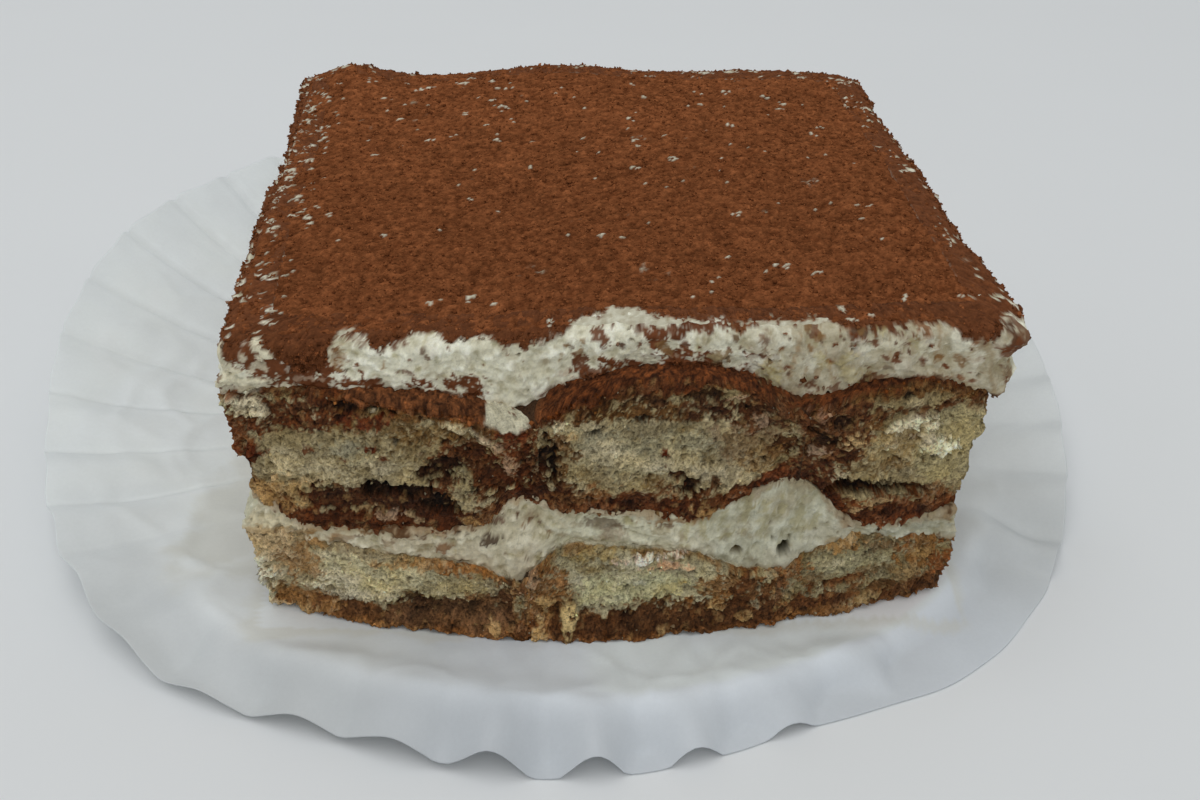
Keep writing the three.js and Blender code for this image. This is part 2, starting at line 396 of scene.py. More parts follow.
# ------------------------------------------------------------------------------------------------ heights of the layers
def paper_dish(x, y):
    """Height of the paper where its pleats are pressed flat, in the row's frame."""
    r, a = np.hypot(x, y), np.degrees(np.arctan2(y, x))
    rim = ramp(a, (-180, 9.2), (-168, 6.2), (-150, 5.3), (-135, 5.3), (-120, 6.3), (-105, 6.9), (-95, 6.0), (-85, 5.0), (-75, 4.3), (-65, 2.9), (-55, 2.1),
               (-45, 2.1), (-30, 3.6), (-15, 5.4), (0, 6.2), (30, 7.2), (60, 9.2), (90, 11.8), (120, 14.0), (145, 14.6), (158, 13.8), (170, 11.4), (180, 9.2))
    s = clamp((r - 29.0) / 36.0, 0, 1.2)
    return rim * s ** 1.9


LOW_TOP = ((-37.5, 13.2), (-34, 13.2), (-32, 12.8), (-30, 12.2), (-27, 11.6), (-24.5, 11.0), (-20, 10.6), (-15, 9.8), (-12.3, 8.6), (-10.3, 7.4), (-9.3, 8.7), (-8.0, 10.3), (-6.4, 12.0),
           (-4.6, 12.9), (-1, 12.2), (3, 11.8), (6, 11.3), (8.5, 10.5), (11, 9.0), (14, 7.9), (17.2, 8.0), (19.5, 9.5), (22, 10.1), (24.2, 11.1), (27, 10.8), (30, 10.0), (37.5, 9.2))
UP_BELLY = ((-37.5, 18.2), (-35.6, 16.9), (-33, 14.8), (-31, 13.6), (-26, 13.5), (-20, 13.5), (-16, 13.8), (-13.4, 14.8), (-11.6, 17.2), (-9.4, 18.0), (-7.6, 17.5),
            (-6, 16.6), (-1, 16.1), (4, 15.4), (8.4, 14.8), (9.6, 15.7), (11.5, 16.8), (13.5, 18.0), (16.5, 19.1), (18.6, 18.4), (20.6, 16.7), (22.2, 14.5), (24.6, 12.4),
            (27, 11.8), (31, 11.9), (35, 12.2), (37.5, 13.0))
UP_TOP = ((-37.5, 28.2), (-34, 29.0), (-30, 29.2), (-25, 28.9), (-20, 28.5), (-15, 28.0), (-12.6, 27.3), (-10.8, 26.7), (-9.2, 26.9), (-7.4, 28.1), (-5.2, 29.4), (-2, 30.2),
          (2, 31.0), (7, 30.9), (12.6, 29.4), (15.5, 27.6), (17.5, 27.0), (20.5, 27.2), (23, 28.0), (26.7, 28.4), (30, 28.4), (33, 27.6), (35.5, 26.7), (37.5, 26.4))


def behind(x, y, table):
    """A front profile carried back through the portion: it changes slowly with depth, as the fingers do."""
    t = smooth((y + 24) / 18)
    back = smooth((y - 12) / 18)
    front = ramp(x, *table)
    shifted = ramp(x + 1.6 * np.sin(y / 13.0), *table)
    far = ramp(x * 0.97 - 0.8, *table) + 0.35 * np.sin(x / 7.0)
    return lerp(lerp(front, shifted, t), far, back)


def wave(x, y, k):
    return 0.30 * np.sin(y / 9.0 + 1.7 * k + x / 19.0) + 0.22 * np.sin(y / 4.3 - k + x / 7.0)


def z_low_top(x, y):
    return behind(x, y, LOW_TOP) + wave(x, y, 1) * smooth((y + 30) / 8)


def z_up_belly(x, y):
    return behind(x, y, UP_BELLY) + wave(x, y, 2) * smooth((y + 30) / 8)


def z_up_top(x, y):
    # the cut edge is broken down a little in front, where the fingers stand out of the cream
    level = smooth((x + 4) / 4) * smooth((15 - x) / 3)
    return behind(x, y, UP_TOP) + wave(x, y, 3) * smooth((y + 30) / 8) + (1.3 - level) * smooth((y + 37.0) / 4.0) - 0.2 + 0.95 * level


def z_under(x, y):
    return paper_dish(x + CX, y + CY) + 0.35 + 0.5 * np.abs(x / HW) ** 10


def z_top(x, y):
    """The spread top of the cream, with the cocoa on it."""
    back = smooth((y - 12) / 20)
    ridge = 1.5 * np.exp(-((x + 31) / 4.0) ** 2) + 1.1 * np.exp(-((x + 1) / 11.0) ** 2) - 0.35 * np.exp(-((x + 17) / 7.0) ** 2)
    front = 0.35 * np.exp(-((x - 4) / 9.0) ** 2) - 0.5 * np.exp(-((x + 13) / 6.0) ** 2)
    return (36.45 + 0.75 * y / HD + back * ridge + smooth((-y - 18) / 14) * front
            + 0.22 * np.sin(y / 8.0 + x / 12.0) + 0.15 * np.sin(x / 5.3 - y / 11.0)
            - 0.9 * np.abs(x / HW) ** 7 - 0.5 * np.abs(y / (HD + 0.5)) ** 9)


# how far the left and right cut sides stand in or out, by height
LEFT_IN = ((0, 4.2), (1.4, 3.2), (3.2, 1.6), (5, 1.0), (8, 0.4), (11, 0.1), (13.3, -0.5), (15, 0.4), (16.4, 1.7), (18, 1.4), (20.9, 2.1), (22.4, 1.4),
           (24, 0.3), (26.7, 0.0), (28.1, -0.2), (30.8, 0.5), (32, 1.7), (33.4, 1.5), (35, 0.6), (36.5, 0.2), (39, 0.4))
RIGHT_IN = ((0, 6.0), (1.5, 4.0), (3.2, 2.4), (4.9, 1.1), (6.7, 1.2), (8.4, 1.9), (10.1, 2.3), (11.9, 3.5), (15.1, 3.5), (18.2, 2.7), (21.3, 2.7),
            (22.7, 0.6), (24.2, 1.2), (27.2, 1.4), (28.5, 0.1), (30, 0.4), (31.4, 1.0), (32.7, -0.1), (34.1, 0.1), (35.3, -0.8), (36.5, -0.3), (39, 0.6))


# ------------------------------------------------------------------------------------------------ one layer's skin
def outline(x0, x1, proud, steps, corner):
    """The layer's outline seen from above, anticlockwise from its front left corner. steps is the spacing in mm on the front, right, back and left."""
    f = lambda x: -HD - proud * (1 - (x / (HW + 1)) ** 2)
    b = lambda x: HD + 0.6 * proud * (1 - (x / (HW + 1)) ** 2)
    count = lambda length, step: max(3, int(round(length / (step * FINE))))
    nf, nb = count(x1 - x0, steps[0]), count(x1 - x0, steps[2])
    nr, nl = count(b(x1) - f(x1), steps[1]), count(b(x0) - f(x0), steps[3])
    xf = np.linspace(x0, x1, nf, endpoint=False)
    yr = np.linspace(f(x1), b(x1), nr, endpoint=False)
    xb = np.linspace(x1, x0, nb, endpoint=False)
    yl = np.linspace(b(x0), f(x0), nl, endpoint=False)
    x = np.concatenate([xf, np.full(nr, x1), xb, np.full(nl, x0)])
    y = np.concatenate([f(xf), yr, b(xb), yl])
    side = np.repeat([0, 1, 2, 3], [nf, nr, nb, nl])
    for cx, cy, sx, sy in ((x0, f(x0), 1, 1), (x1, f(x1), -1, 1), (x1, b(x1), -1, -1), (x0, b(x0), 1, -1)):
        mx, my = cx + sx * corner, cy + sy * corner
        inside = ((x - mx) * sx < 0) & ((y - my) * sy < 0)
        dx, dy = x[inside] - mx, y[inside] - my
        d = np.maximum(np.hypot(dx, dy), 1e-6)
        x[inside], y[inside] = mx + dx / d * corner, my + dy / d * corner
    return x, y, side, f, b


class Skin:
    """A closed layer as one grid: columns run round the outline, and rows run from the underside out to the edge, up the side, and in over the top."""

    def __init__(self, x0, x1, proud, steps, zb, zt, row_mm, round_mm, in_bottom, in_top, corner=0.8, top_edge=None, sink=0.0):
        self.x0, self.x1 = x0, x1
        bx, by, side, f, b = outline(x0, x1, proud, steps, corner)
        self.side = side
        C = len(bx)
        tx, ty = np.roll(bx, -1) - np.roll(bx, 1), np.roll(by, -1) - np.roll(by, 1)
        tl = np.maximum(np.hypot(tx, ty), 1e-6)
        nx, ny = ty / tl, -tx / tl
        for _ in range(3):
            nx, ny = (nx + np.roll(nx, 1) + np.roll(nx, -1)) / 3, (ny + np.roll(ny, 1) + np.roll(ny, -1)) / 3
        nl = np.hypot(nx, ny)
        nx, ny = nx / nl, ny / nl
        xm = (x0 + x1) / 2
        yc, yh = (f(bx) + b(bx)) / 2, (b(bx) - f(bx)) / 2
        hx = (x1 - x0) / 2

        def at(inset):
            return xm + (bx - xm) * (hx - inset) / hx, yc + (by - yc) * (yh - inset) / yh

        rho, rho_t = round_mm, (top_edge or round_mm)
        zb0, zt0 = zb(bx, by), zt(bx, by)
        height = np.maximum(zt0 - zb0, 0.3)
        rows = []
        for d in sorted(in_bottom, reverse=True):
            px, py = at(rho + d)
            rows.append((px, py, zb(px, py), 0 * nx, 0 * ny, -np.ones(C), np.zeros(C) - d))
        for k in range(3):
            ph = math.pi / 2 * (k + 0.5) / 3
            px, py = at(rho * (1 - math.sin(ph)))
            zz = np.minimum(zb0 + rho * (1 - math.cos(ph)), zb0 + 0.5 * height)
            rows.append((px, py, zz, nx * math.sin(ph), ny * math.sin(ph), -math.cos(ph) * np.ones(C), (zz - zb0) / height))
        n = max(4, int(round(np.mean(height[side == 0]) / (row_mm * FINE))))
        lo = zb0 + np.minimum(rho, 0.45 * height)
        hi = zt0 - np.minimum(rho_t, 0.45 * height)
        for k in range(n + 1):
            zz = lerp(lo, hi, k / n)
            rows.append((bx, by, zz, nx, ny, 0 * nx, (zz - zb0) / height))
        nk = 3 if rho_t < 0.8 else 6
        for k in range(nk):
            ph = math.pi / 2 * (k + 0.5) / nk
            px, py = at(rho_t * (1 - math.cos(ph)))
            zz = np.maximum(zt0 - rho_t * (1 - math.sin(ph)), zt0 - 0.5 * height)
            rows.append((px, py, zz, nx * math.cos(ph), ny * math.cos(ph), math.sin(ph) * np.ones(C), (zz - zb0) / height))
        for d in sorted(in_top):
            px, py = at(rho_t + d)
            rows.append((px, py, zt(px, py), 0 * nx, 0 * ny, np.ones(C), 1 + d))
        if sink:
            px, py = at(rho_t + max(in_top) + 0.8)
            rows.append((px, py, zt(px, py) - sink, 0 * nx, 0 * ny, np.ones(C), 6 + 0 * px))
        self.R, self.C = len(rows), C
        stack = lambda k: np.concatenate([np.broadcast_to(r[k], (C,)) for r in rows])
        self.P = np.stack([stack(0), stack(1), stack(2)], 1)
        self.N = np.stack([stack(3), stack(4), stack(5)], 1)
        self.t = stack(6)
        self.zb, self.zt = np.tile(zb0, self.R), np.tile(zt0, self.R)
        self.colside = np.tile(side, self.R)
        self.nx = np.tile(nx, self.R)
        self.front = smooth(-np.tile(ny, self.R) * 1.5 - 0.3)
        self.level = np.repeat(np.arange(self.R), C)

    def finish(self, name, P, col, extra, material, chart=(0.42, 0.17, 0.2, 0.17)):
        R, C = self.R, self.C
        quads, r, c = lattice_faces(R, C, True)
        ends = np.stack([P[:C].mean(0), P[-C:].mean(0)])
        ends[0, 2] = P[:C, 2].max()
        ends[1, 2] = P[-C:, 2].min()
        V = np.concatenate([P, ends])
        k = np.arange(C)
        low = np.stack([np.full(C, R * C), (k + 1) % C, k], 1)
        top = np.stack([np.full(C, R * C + 1), (R - 1) * C + k, (R - 1) * C + (k + 1) % C], 1)
        tris = np.concatenate([low, top])
        # one strip of the map for each side, stacked
        side = self.side
        first = np.array([np.argmax(side == s) for s in range(4)])
        many = np.array([np.sum(side == s) for s in range(4)])
        base = np.concatenate([[0], np.cumsum(chart)])[:4] + 0.02
        sd = side[c]
        u0, u1 = (c - first[sd]) / many[sd], (c - first[sd] + 1) / many[sd]
        step = np.linalg.norm(np.diff(P.reshape(R, C, 3)[:, : many[0]].mean(1), axis=0), axis=1)
        v = np.concatenate([[0], np.cumsum(step + 1e-6)])
        v /= v[-1]
        span = np.array(chart)[sd] * 0.96
        v0, v1 = base[sd] + v[r] * span, base[sd] + v[r + 1] * span
        m = 0.004
        u0, u1 = m + u0 * (1 - 2 * m), m + u1 * (1 - 2 * m)
        uvq = np.stack([np.stack([u0, v0], 1), np.stack([u1, v0], 1), np.stack([u1, v1], 1), np.stack([u0, v1], 1)], 1)
        # the two ends, small, in the space that is left on top
        Q = np.concatenate([P[:C], P[-C:], ends])[:, :2]
        q0, q1 = Q.min(0), Q.max(0)
        q = (Q - q0) / (q1 - q0) * 0.016
        idx = np.concatenate([np.stack([np.full(C, 2 * C), (k + 1) % C, k], 1),
                              np.stack([np.full(C, 2 * C + 1), C + k, C + (k + 1) % C], 1)])
        shift = np.repeat([[0.01, 0.982], [0.05, 0.982]], C, axis=0)
        uvt = q[idx] + shift[:, None, :]
        col = np.concatenate([col, col[:1], col[-1:]])
        extra = {k2: np.concatenate([v2, v2[:1], v2[-1:]]) for k2, v2 in extra.items()}
        V = V + np.array([CX, CY, 0.0])
        return write_mesh(name, V, quads, tris, col, uvq, uvt, extra, material)


# ------------------------------------------------------------------------------------------------ colours
# Each colour is what the stuff looks like in the photo's light, in display numbers. Dividing by the light that a cut
# face or the top gets makes it the surface's own colour.
FACE, TOPS = 1.36, np.array([1.28, 1.22, 1.17])
PALE, PALE_HI, GREY = srgb(124, 115, 88, FACE), srgb(160, 153, 128, FACE), srgb(128, 125, 104, FACE)
OLIVE, YELLOW, TAN = srgb(92, 78, 46, FACE), srgb(136, 129, 98, FACE), srgb(112, 84, 52, FACE)
# BLACK is used only where holes, gaps and pockets are sunk into the crumb: it is painted shade.
BROWN, UMBER, DARK, BLACK = srgb(80, 54, 32, FACE), srgb(58, 39, 24, FACE), srgb(38, 25, 17, FACE), srgb(16, 11, 9, FACE)
GOLD, ORANGE, BUFF = srgb(142, 114, 72, FACE), srgb(106, 74, 45, FACE), srgb(158, 138, 104, FACE)
CREAM_W, ROSE = srgb(190, 184, 160, FACE), srgb(150, 127, 106, FACE)
CREAM, CREAM_HI, CREAM_LO = srgb(176, 171, 148, FACE), srgb(194, 192, 174, FACE), srgb(136, 123, 96, FACE)
STAIN = srgb(132, 106, 74, FACE)
REDDISH = srgb(90, 51, 28, FACE)
COCOA, COCOA_HI, COCOA_LO = srgb(104, 61, 36, TOPS), srgb(126, 79, 49, TOPS), srgb(70, 38, 20, TOPS)
BAND = srgb(86, 49, 27, FACE)


def hue(n, a, b):
    return mix(a, b, 0.5 + 0.5 * n)


class Canvas:
    """The visible skin of a layer as it is painted: its colour, its relief and how damp it is."""

    def __init__(self, skin, seed):
        self.skin, P = skin, skin.P
        self.u = np.where((skin.colside == 0) | (skin.colside == 2), P[:, 0], P[:, 1])
        self.z = np.where(skin.t > 1, np.maximum(P[:, 2], skin.zt + 0.9 * (skin.t - 1)), P[:, 2])
        self.n2 = fbm(P, 2.3, 3, 0.6, seed + 11)
        self.n1 = fbm(P, 1.0, 3, 0.65, seed + 23)
        self.nf = fbm(P, 0.42, 2, 0.7, seed + 37)
        self.nn = 0.42 * self.n2 + 0.42 * self.n1 + 0.22 * self.nf
        self.rag = 0.8 * self.n2 + 1.25 * self.n1 + 0.7 * self.nf
        self.gap = smooth((0.7 * self.nf + 0.6 * fbm(P + 60, 0.8, 2, 0.6, seed + 41) - 0.26) / 0.22)
        self.lum = np.zeros(len(P))
        self.col = np.zeros((len(P), 3))
        self.D = np.zeros(len(P))
        self.wet = np.zeros(len(P))
        self.near = [np.flatnonzero((skin.colside == s) & (skin.t > -0.6) & (skin.t < 2.5)) for s in range(4)]

    def stroke(self, u, z, ru, rz, colour, k=0.9, turn=0, soft=0.45, lift=0.0, wet=None, side=0, ragged=1.0):
        """One ragged oval patch of colour, ru by rz mm, at (u, z) on a side, turned by turn degrees."""
        i = self.near[side]
        reach = 1.9 * max(ru, rz) + 0.6
        i = i[(np.abs(self.u[i] - u) < reach) & (np.abs(self.z[i] - z) < reach)]
        if not len(i):
            return
        c, s = math.cos(math.radians(turn)), math.sin(math.radians(turn))
        dx, dz = self.u[i] - u, self.z[i] - z
        a, b = dx * c + dz * s, -dx * s + dz * c
        d = np.sqrt((a / ru) ** 2 + (b / rz) ** 2)
        small = min(ru, rz)
        if lift < -0.29:
            ragged, gaps = 0.62 * ragged, 0.15
        else:
            gaps = 0.65 * min(1.0, ragged)
        m = (1 - d) * small + ragged * min(1.0, small / 1.25) * self.rag[i]
        m = smooth(m / max(0.10, 0.6 * soft * min(1.0, small / 0.9)) + 0.5) * k * (1 - gaps * self.gap[i])
        if colour is not None:
            self.col[i] = mix(self.col[i], np.asarray(colour) * (1 + 0.30 * self.lum[i])[:, None], m)
        if lift:
            self.D[i] += lift * m
        if wet is not None:
            self.wet[i] = lerp(self.wet[i], wet, m)


def crumb(P, seed):
    """Torn crumb: (relief in mm, lightness about -1 to 1, pits, threads). The lightness is painted light: higher on the
    raised ridges, lower in the sunken pits.
    """
    w = P + 0.24 * np.stack([fbm(P + 7, 1.1, 2, 0.6, seed + 1), fbm(P + 29, 1.1, 2, 0.6, seed + 2), fbm(P + 53, 1.1, 2, 0.6, seed + 3)], 1)
    r1 = 1 - np.abs(fbm(w, 1.05, 2, 0.6, seed + 4)) * 3.0
    r2 = 1 - np.abs(fbm(w + 11, 0.52, 2, 0.6, seed + 6)) * 3.0
    r3 = fbm(P, 0.38, 2, 0.7, seed + 8)
    c1, c2, cid = cells(w, (0.80, 0.80, 0.62), seed + 9)
    pits = smooth((0.40 - c1) / 0.22) * (cid > 0.66)
    threads = smooth((0.5 * r1 + 0.6 * r2 - 0.30) / 0.45) * (1 - pits)
    D = 0.07 * r1 + 0.08 * r2 + 0.08 * r3 - 0.28 * pits
    return D, clamp(0.14 * r1 + 0.24 * r2 + 0.42 * r3 - 0.85 * pits, -1.5, 1.0), pits, threads


# Strokes on the front of each finger: along, height, half length, half height, colour, strength, and options.
# The BLACK strokes sink holes and gaps into the face; their black is painted shade.
FRONT = {
    "up0": (
        (-23, 27.0, 11.5, 2.1, OLIVE, 0.75), (-31.5, 27.4, 6.0, 2.2, BROWN, 0.9, dict(wet=0.6)), (-28, 22.6, 8.0, 3.0, PALE, 0.95),
        (-30, 21.4, 3.6, 1.3, PALE_HI, 0.7), (-22.5, 22.2, 3.2, 1.2, PALE_HI, 0.7), (-26, 24.0, 2.6, 1.0, GREY, 0.8), (-33, 22.0, 1.6, 1.8, PALE_HI, 0.6),
        (-19.5, 24.3, 3.8, 2.0, OLIVE, 0.55), (-36.6, 25.2, 1.7, 3.0, srgb(100, 68, 40, FACE), 0.9, dict(lift=0.3)), (-36.0, 23.2, 1.3, 1.0, BAND, 1.0, dict(lift=0.3)),
        (-33.2, 18.0, 3.4, 2.0, GOLD, 0.6), (-35.8, 18.4, 1.5, 1.6, GOLD, 0.95, dict(lift=0.35)), (-31.5, 19.5, 1.8, 0.9, BUFF, 0.5),
        (-23.5, 18.2, 8.2, 1.9, UMBER, 0.97, dict(lift=-0.35, wet=0.7)), (-15.5, 21.5, 3.6, 3.4, BROWN, 0.85, dict(lift=-0.2, wet=0.6)),
        (-24.4, 19.2, 1.7, 1.0, BLACK, 1.0, dict(lift=-0.9)), (-21.0, 19.2, 1.5, 0.9, BLACK, 0.95, dict(lift=-0.7)),
        (-17.6, 21.6, 2.4, 1.3, DARK, 0.98, dict(turn=18, lift=-0.7)), (-17.6, 17.9, 2.2, 1.0, BLACK, 1.0, dict(lift=-0.8)), (-11.4, 18.9, 1.7, 1.1, UMBER, 0.9, dict(lift=-0.4)), (-29, 18.6, 1.6, 0.7, DARK, 0.7, dict(lift=-0.3)),
        (-15.8, 19.7, 1.1, 1.7, YELLOW, 0.75, dict(lift=0.3)), (-16.6, 18.4, 0.8, 0.8, GOLD, 0.5), (-27.5, 15.9, 5.6, 1.1, BROWN, 0.9, dict(wet=0.5)),
        (-20.5, 15.8, 4.6, 1.0, BROWN, 0.85), (-23, 16.5, 1.1, 0.6, ROSE, 0.85, dict(lift=0.35)), (-25.2, 17.2, 1.0, 0.4, BUFF, 0.5), (-20.8, 16.3, 0.7, 0.5, BUFF, 0.55, dict(lift=0.25)),
        (-10.4, 23.6, 1.9, 3.4, REDDISH, 0.85), (-14.4, 24.0, 1.4, 1.5, UMBER, 0.8, dict(lift=-0.4)), (-12.6, 20.8, 1.8, 1.9, UMBER, 0.9, dict(lift=-0.35)), (-9.4, 22.6, 1.0, 2.2, UMBER, 0.9, dict(lift=-0.3, ragged=1.5)),
        (-13.3, 16.6, 2.2, 1.5, TAN, 0.8), (-15.2, 15.7, 1.0, 0.6, GOLD, 0.6), (-12.9, 25.2, 1.7, 0.45, ROSE, 0.85, dict(turn=-48, lift=0.3)),
        (-15.5, 26.8, 1.9, 0.5, PALE_HI, 0.8, dict(turn=-22, lift=0.3)), (-11.0, 22.3, 0.6, 0.9, ROSE, 0.7, dict(lift=0.2)), (-18.4, 27.2, 1.0, 0.4, PALE_HI, 0.6),
        (-36.2, 28.7, 2.1, 1.1, CREAM_W, 1.0, dict(lift=0.5, wet=0.3)), (-34.2, 28.1, 0.7, 0.8, CREAM_W, 0.8, dict(lift=0.3)),
        (-24.4, 24.0, 0.7, 0.45, REDDISH, 0.95, dict(lift=0.2)), (-23.2, 22.9, 0.5, 0.4, REDDISH, 0.9, dict(lift=0.2)), (-30.1, 23.6, 0.35, 0.4, REDDISH, 0.8), (-27.2, 22.6, 0.3, 0.3, REDDISH, 0.8),
        (-22.6, 28.7, 1.5, 0.75, BLACK, 1.0, dict(lift=-0.8)), (-26.2, 28.9, 1.2, 0.55, BLACK, 0.95, dict(lift=-0.6)), (-29.5, 28.6, 1.6, 0.5, DARK, 0.8, dict(lift=-0.3)), (-24.0, 27.3, 1.6, 0.7, REDDISH, 0.8)),
    "up1": (
        (2.0, 28.6, 9.0, 1.5, srgb(76, 63, 36, FACE), 0.9, dict(wet=0.5)), (1.5, 24.3, 7.4, 3.3, GREY, 0.92), (-1.5, 23.6, 2.3, 1.8, PALE_HI, 0.65), (4.6, 22.7, 3.0, 1.2, PALE_HI, 0.6),
        (8.6, 21.3, 2.6, 1.0, PALE_HI, 0.55), (2.5, 26.6, 3.5, 0.9, OLIVE, 0.5), (-6.3, 23.5, 1.5, 3.8, srgb(90, 72, 44, FACE), 0.85), (-4.2, 21.0, 1.6, 1.2, OLIVE, 0.6),
        (-4.0, 18.7, 3.8, 1.2, TAN, 0.85), (-2.3, 17.9, 2.6, 0.55, ORANGE, 0.9, dict(lift=0.3)), (-0.4, 18.6, 1.0, 0.6, BROWN, 0.8), (5.8, 17.7, 3.2, 1.3, BROWN, 0.92, dict(lift=-0.1)),
        (8.8, 16.9, 1.0, 1.4, GOLD, 0.7, dict(lift=0.25)), (6.6, 19.4, 1.0, 1.1, BLACK, 0.95, dict(lift=-0.7)), (5.1, 20.9, 0.8, 0.5, DARK, 0.95, dict(lift=-0.5)), (4.4, 19.4, 1.3, 0.9, BROWN, 0.75), (9.4, 18.0, 0.8, 1.1, BROWN, 0.8),
        (3.0, 20.2, 1.3, 0.8, OLIVE, 0.7), (9.2, 19.9, 0.6, 0.9, UMBER, 0.75, dict(lift=-0.3)), (4.4, 18.8, 1.4, 0.6, ORANGE, 0.6), (12.6, 25.2, 3.6, 3.6, srgb(104, 90, 66, FACE), 0.88), (12.2, 27.4, 4.2, 1.5, srgb(74, 58, 46, FACE), 0.85), (8.0, 28.8, 3.6, 1.0, srgb(66, 50, 36, FACE), 0.8), (15.6, 23.6, 1.4, 1.5, DARK, 0.8, dict(lift=-0.4)), (9.4, 26.0, 1.6, 0.7, srgb(120, 106, 84, FACE), 0.7),
        (13.4, 22.0, 2.4, 1.5, srgb(114, 95, 62, FACE), 0.7), (11.6, 18.5, 1.9, 0.5, ORANGE, 0.9, dict(turn=20, lift=0.25)), (14.8, 20.0, 1.5, 0.5, srgb(108, 68, 38, FACE), 0.9, dict(turn=20, lift=0.2)),
        (12.0, 28.5, 4.8, 1.2, srgb(66, 50, 36, FACE), 0.88, dict(lift=-0.2)), (3.8, 23.5, 0.42, 0.6, REDDISH, 1.0, dict(lift=0.3)), (7.0, 30.1, 2.5, 0.45, BLACK, 0.75, dict(lift=-0.5)),
        (1.5, 29.9, 1.6, 0.3, BLACK, 0.6, dict(lift=-0.3)), (-7.4, 23.2, 1.35, 2.2, BLACK * 0.8, 1.0, dict(lift=-0.6, ragged=1.5)), (-8.0, 20.8, 0.9, 1.4, UMBER, 0.95, dict(lift=-0.3, ragged=1.5)), (-5.6, 19.9, 1.3, 0.8, UMBER, 0.85, dict(lift=-0.3)), (-6.2, 27.2, 0.8, 0.9, CREAM_W, 0.9, dict(lift=0.4)), (-4.9, 26.0, 0.5, 0.5, BUFF, 0.7),
        (10.4, 29.6, 0.8, 0.4, ROSE, 0.7, dict(lift=0.3)), (13.0, 27.3, 0.9, 0.5, ROSE, 0.6, dict(lift=0.3)), (9.0, 27.6, 1.3, 0.6, DARK, 0.6, dict(lift=-0.3))),
    "up2": (
        (20.5, 24.0, 5.0, 4.4, srgb(80, 60, 42, FACE), 0.92, dict(wet=0.5)), (19.8, 23.6, 1.6, 0.8, BLACK, 0.8, dict(lift=-0.45)), (22.4, 21.6, 1.2, 0.8, DARK, 0.8, dict(lift=-0.4)), (28.5, 22.4, 4.2, 2.4, srgb(128, 112, 78, FACE), 0.85), (33.6, 21.5, 3.9, 5.2, YELLOW, 0.97, dict(ragged=0.5, wet=0.3)),
        (21.6, 25.8, 1.2, 0.7, BLACK, 0.85, dict(lift=-0.6)), (18.0, 25.3, 1.0, 0.7, BLACK, 0.85, dict(lift=-0.6)), (16.7, 22.8, 1.2, 1.0, DARK, 0.85, dict(lift=-0.5)),
        (19.0, 26.7, 1.5, 0.8, srgb(104, 86, 74, FACE), 0.75, dict(lift=0.3)), (23.0, 23.2, 0.9, 1.1, BUFF, 0.85, dict(lift=0.4)), (25.5, 25.0, 1.6, 0.8, OLIVE, 0.6), (19.4, 22.4, 0.9, 0.6, ROSE, 0.5, dict(lift=0.2)),
        (28.5, 25.1, 2.3, 0.75, CREAM_W * 1.12, 1.0, dict(turn=12, lift=0.5, ragged=0.55)), (30.7, 24.3, 1.1, 0.45, CREAM_W * 1.1, 1.0, dict(lift=0.4, ragged=0.6)), (32.0, 21.9, 2.1, 1.0, CREAM_W * 1.2, 1.0, dict(turn=-15, lift=0.7, ragged=0.5)), (29.4, 22.9, 1.4, 0.5, UMBER, 0.5),
        (30.4, 23.0, 1.1, 0.4, CREAM_W, 0.7, dict(lift=0.4)), (26.6, 22.0, 1.0, 0.5, CREAM_W, 0.6, dict(lift=0.3)), (28.0, 26.5, 6.0, 0.55, UMBER, 0.75), (33.5, 26.2, 3.0, 0.4, BROWN, 0.5),
        (25.0, 17.7, 3.4, 0.75, BLACK, 1.0, dict(turn=-8, lift=-1.2)), (29.6, 17.0, 2.2, 0.6, BLACK, 0.95, dict(turn=-5, lift=-1.0)), (22.5, 18.3, 0.9, 0.9, BLACK, 0.9, dict(lift=-0.9)),
        (28.0, 15.0, 5.6, 1.4, srgb(98, 70, 45, FACE), 0.92), (27.0, 15.7, 1.4, 0.5, BUFF, 0.6, dict(lift=0.3)), (24.6, 14.9, 0.8, 0.5, BUFF, 0.6, dict(lift=0.25)), (29.0, 14.5, 2.2, 0.55, DARK, 0.75),
        (33.0, 15.6, 2.2, 1.6, srgb(104, 74, 44, FACE), 0.75, dict(lift=0.2)), (27.0, 13.2, 4.6, 0.4, srgb(96, 64, 38, FACE), 0.9), (20.4, 18.6, 2.2, 2.6, srgb(70, 47, 32, FACE), 0.92, dict(turn=-30)), (22.4, 15.6, 1.0, 2.0, BROWN, 0.85, dict(turn=25)),
        (25.8, 19.9, 3.6, 0.9, OLIVE, 0.7)),
    "low0": (
        (-23.5, 8.5, 9.6, 3.0, srgb(148, 142, 111, FACE), 0.97, dict(turn=-7)), (-29.0, 8.5, 2.5, 1.2, PALE_HI, 0.8), (-27.0, 6.2, 3.6, 0.8, PALE_HI, 0.8, dict(turn=8)), (-31.4, 6.9, 1.6, 0.45, CREAM_W, 0.7),
        (-33.0, 10.5, 2.4, 2.6, srgb(112, 86, 54, FACE), 0.88), (-37.0, 12.0, 1.6, 3.2, srgb(166, 148, 112, FACE), 0.9, dict(lift=0.3)), (-34.6, 12.9, 2.0, 1.3, BUFF, 0.75, dict(lift=0.2)),
        (-34.5, 4.2, 3.2, 2.4, srgb(98, 74, 46, FACE), 0.88), (-36.0, 5.8, 0.8, 0.8, GOLD, 0.85, dict(lift=0.3)), (-33.0, 3.0, 1.1, 0.6, GOLD, 0.8, dict(lift=0.3)), (-30.5, 4.0, 1.2, 0.7, TAN, 0.8),
        (-20.0, 4.0, 6.2, 1.8, srgb(64, 47, 35, FACE), 1.0, dict(turn=13, lift=-0.35, wet=0.7)), (-14.0, 4.5, 5.0, 2.5, srgb(76, 57, 42, FACE), 0.95, dict(lift=-0.2, wet=0.7)), (-18.0, 4.6, 3.2, 0.7, BLACK, 0.55, dict(turn=8, lift=-0.3)),
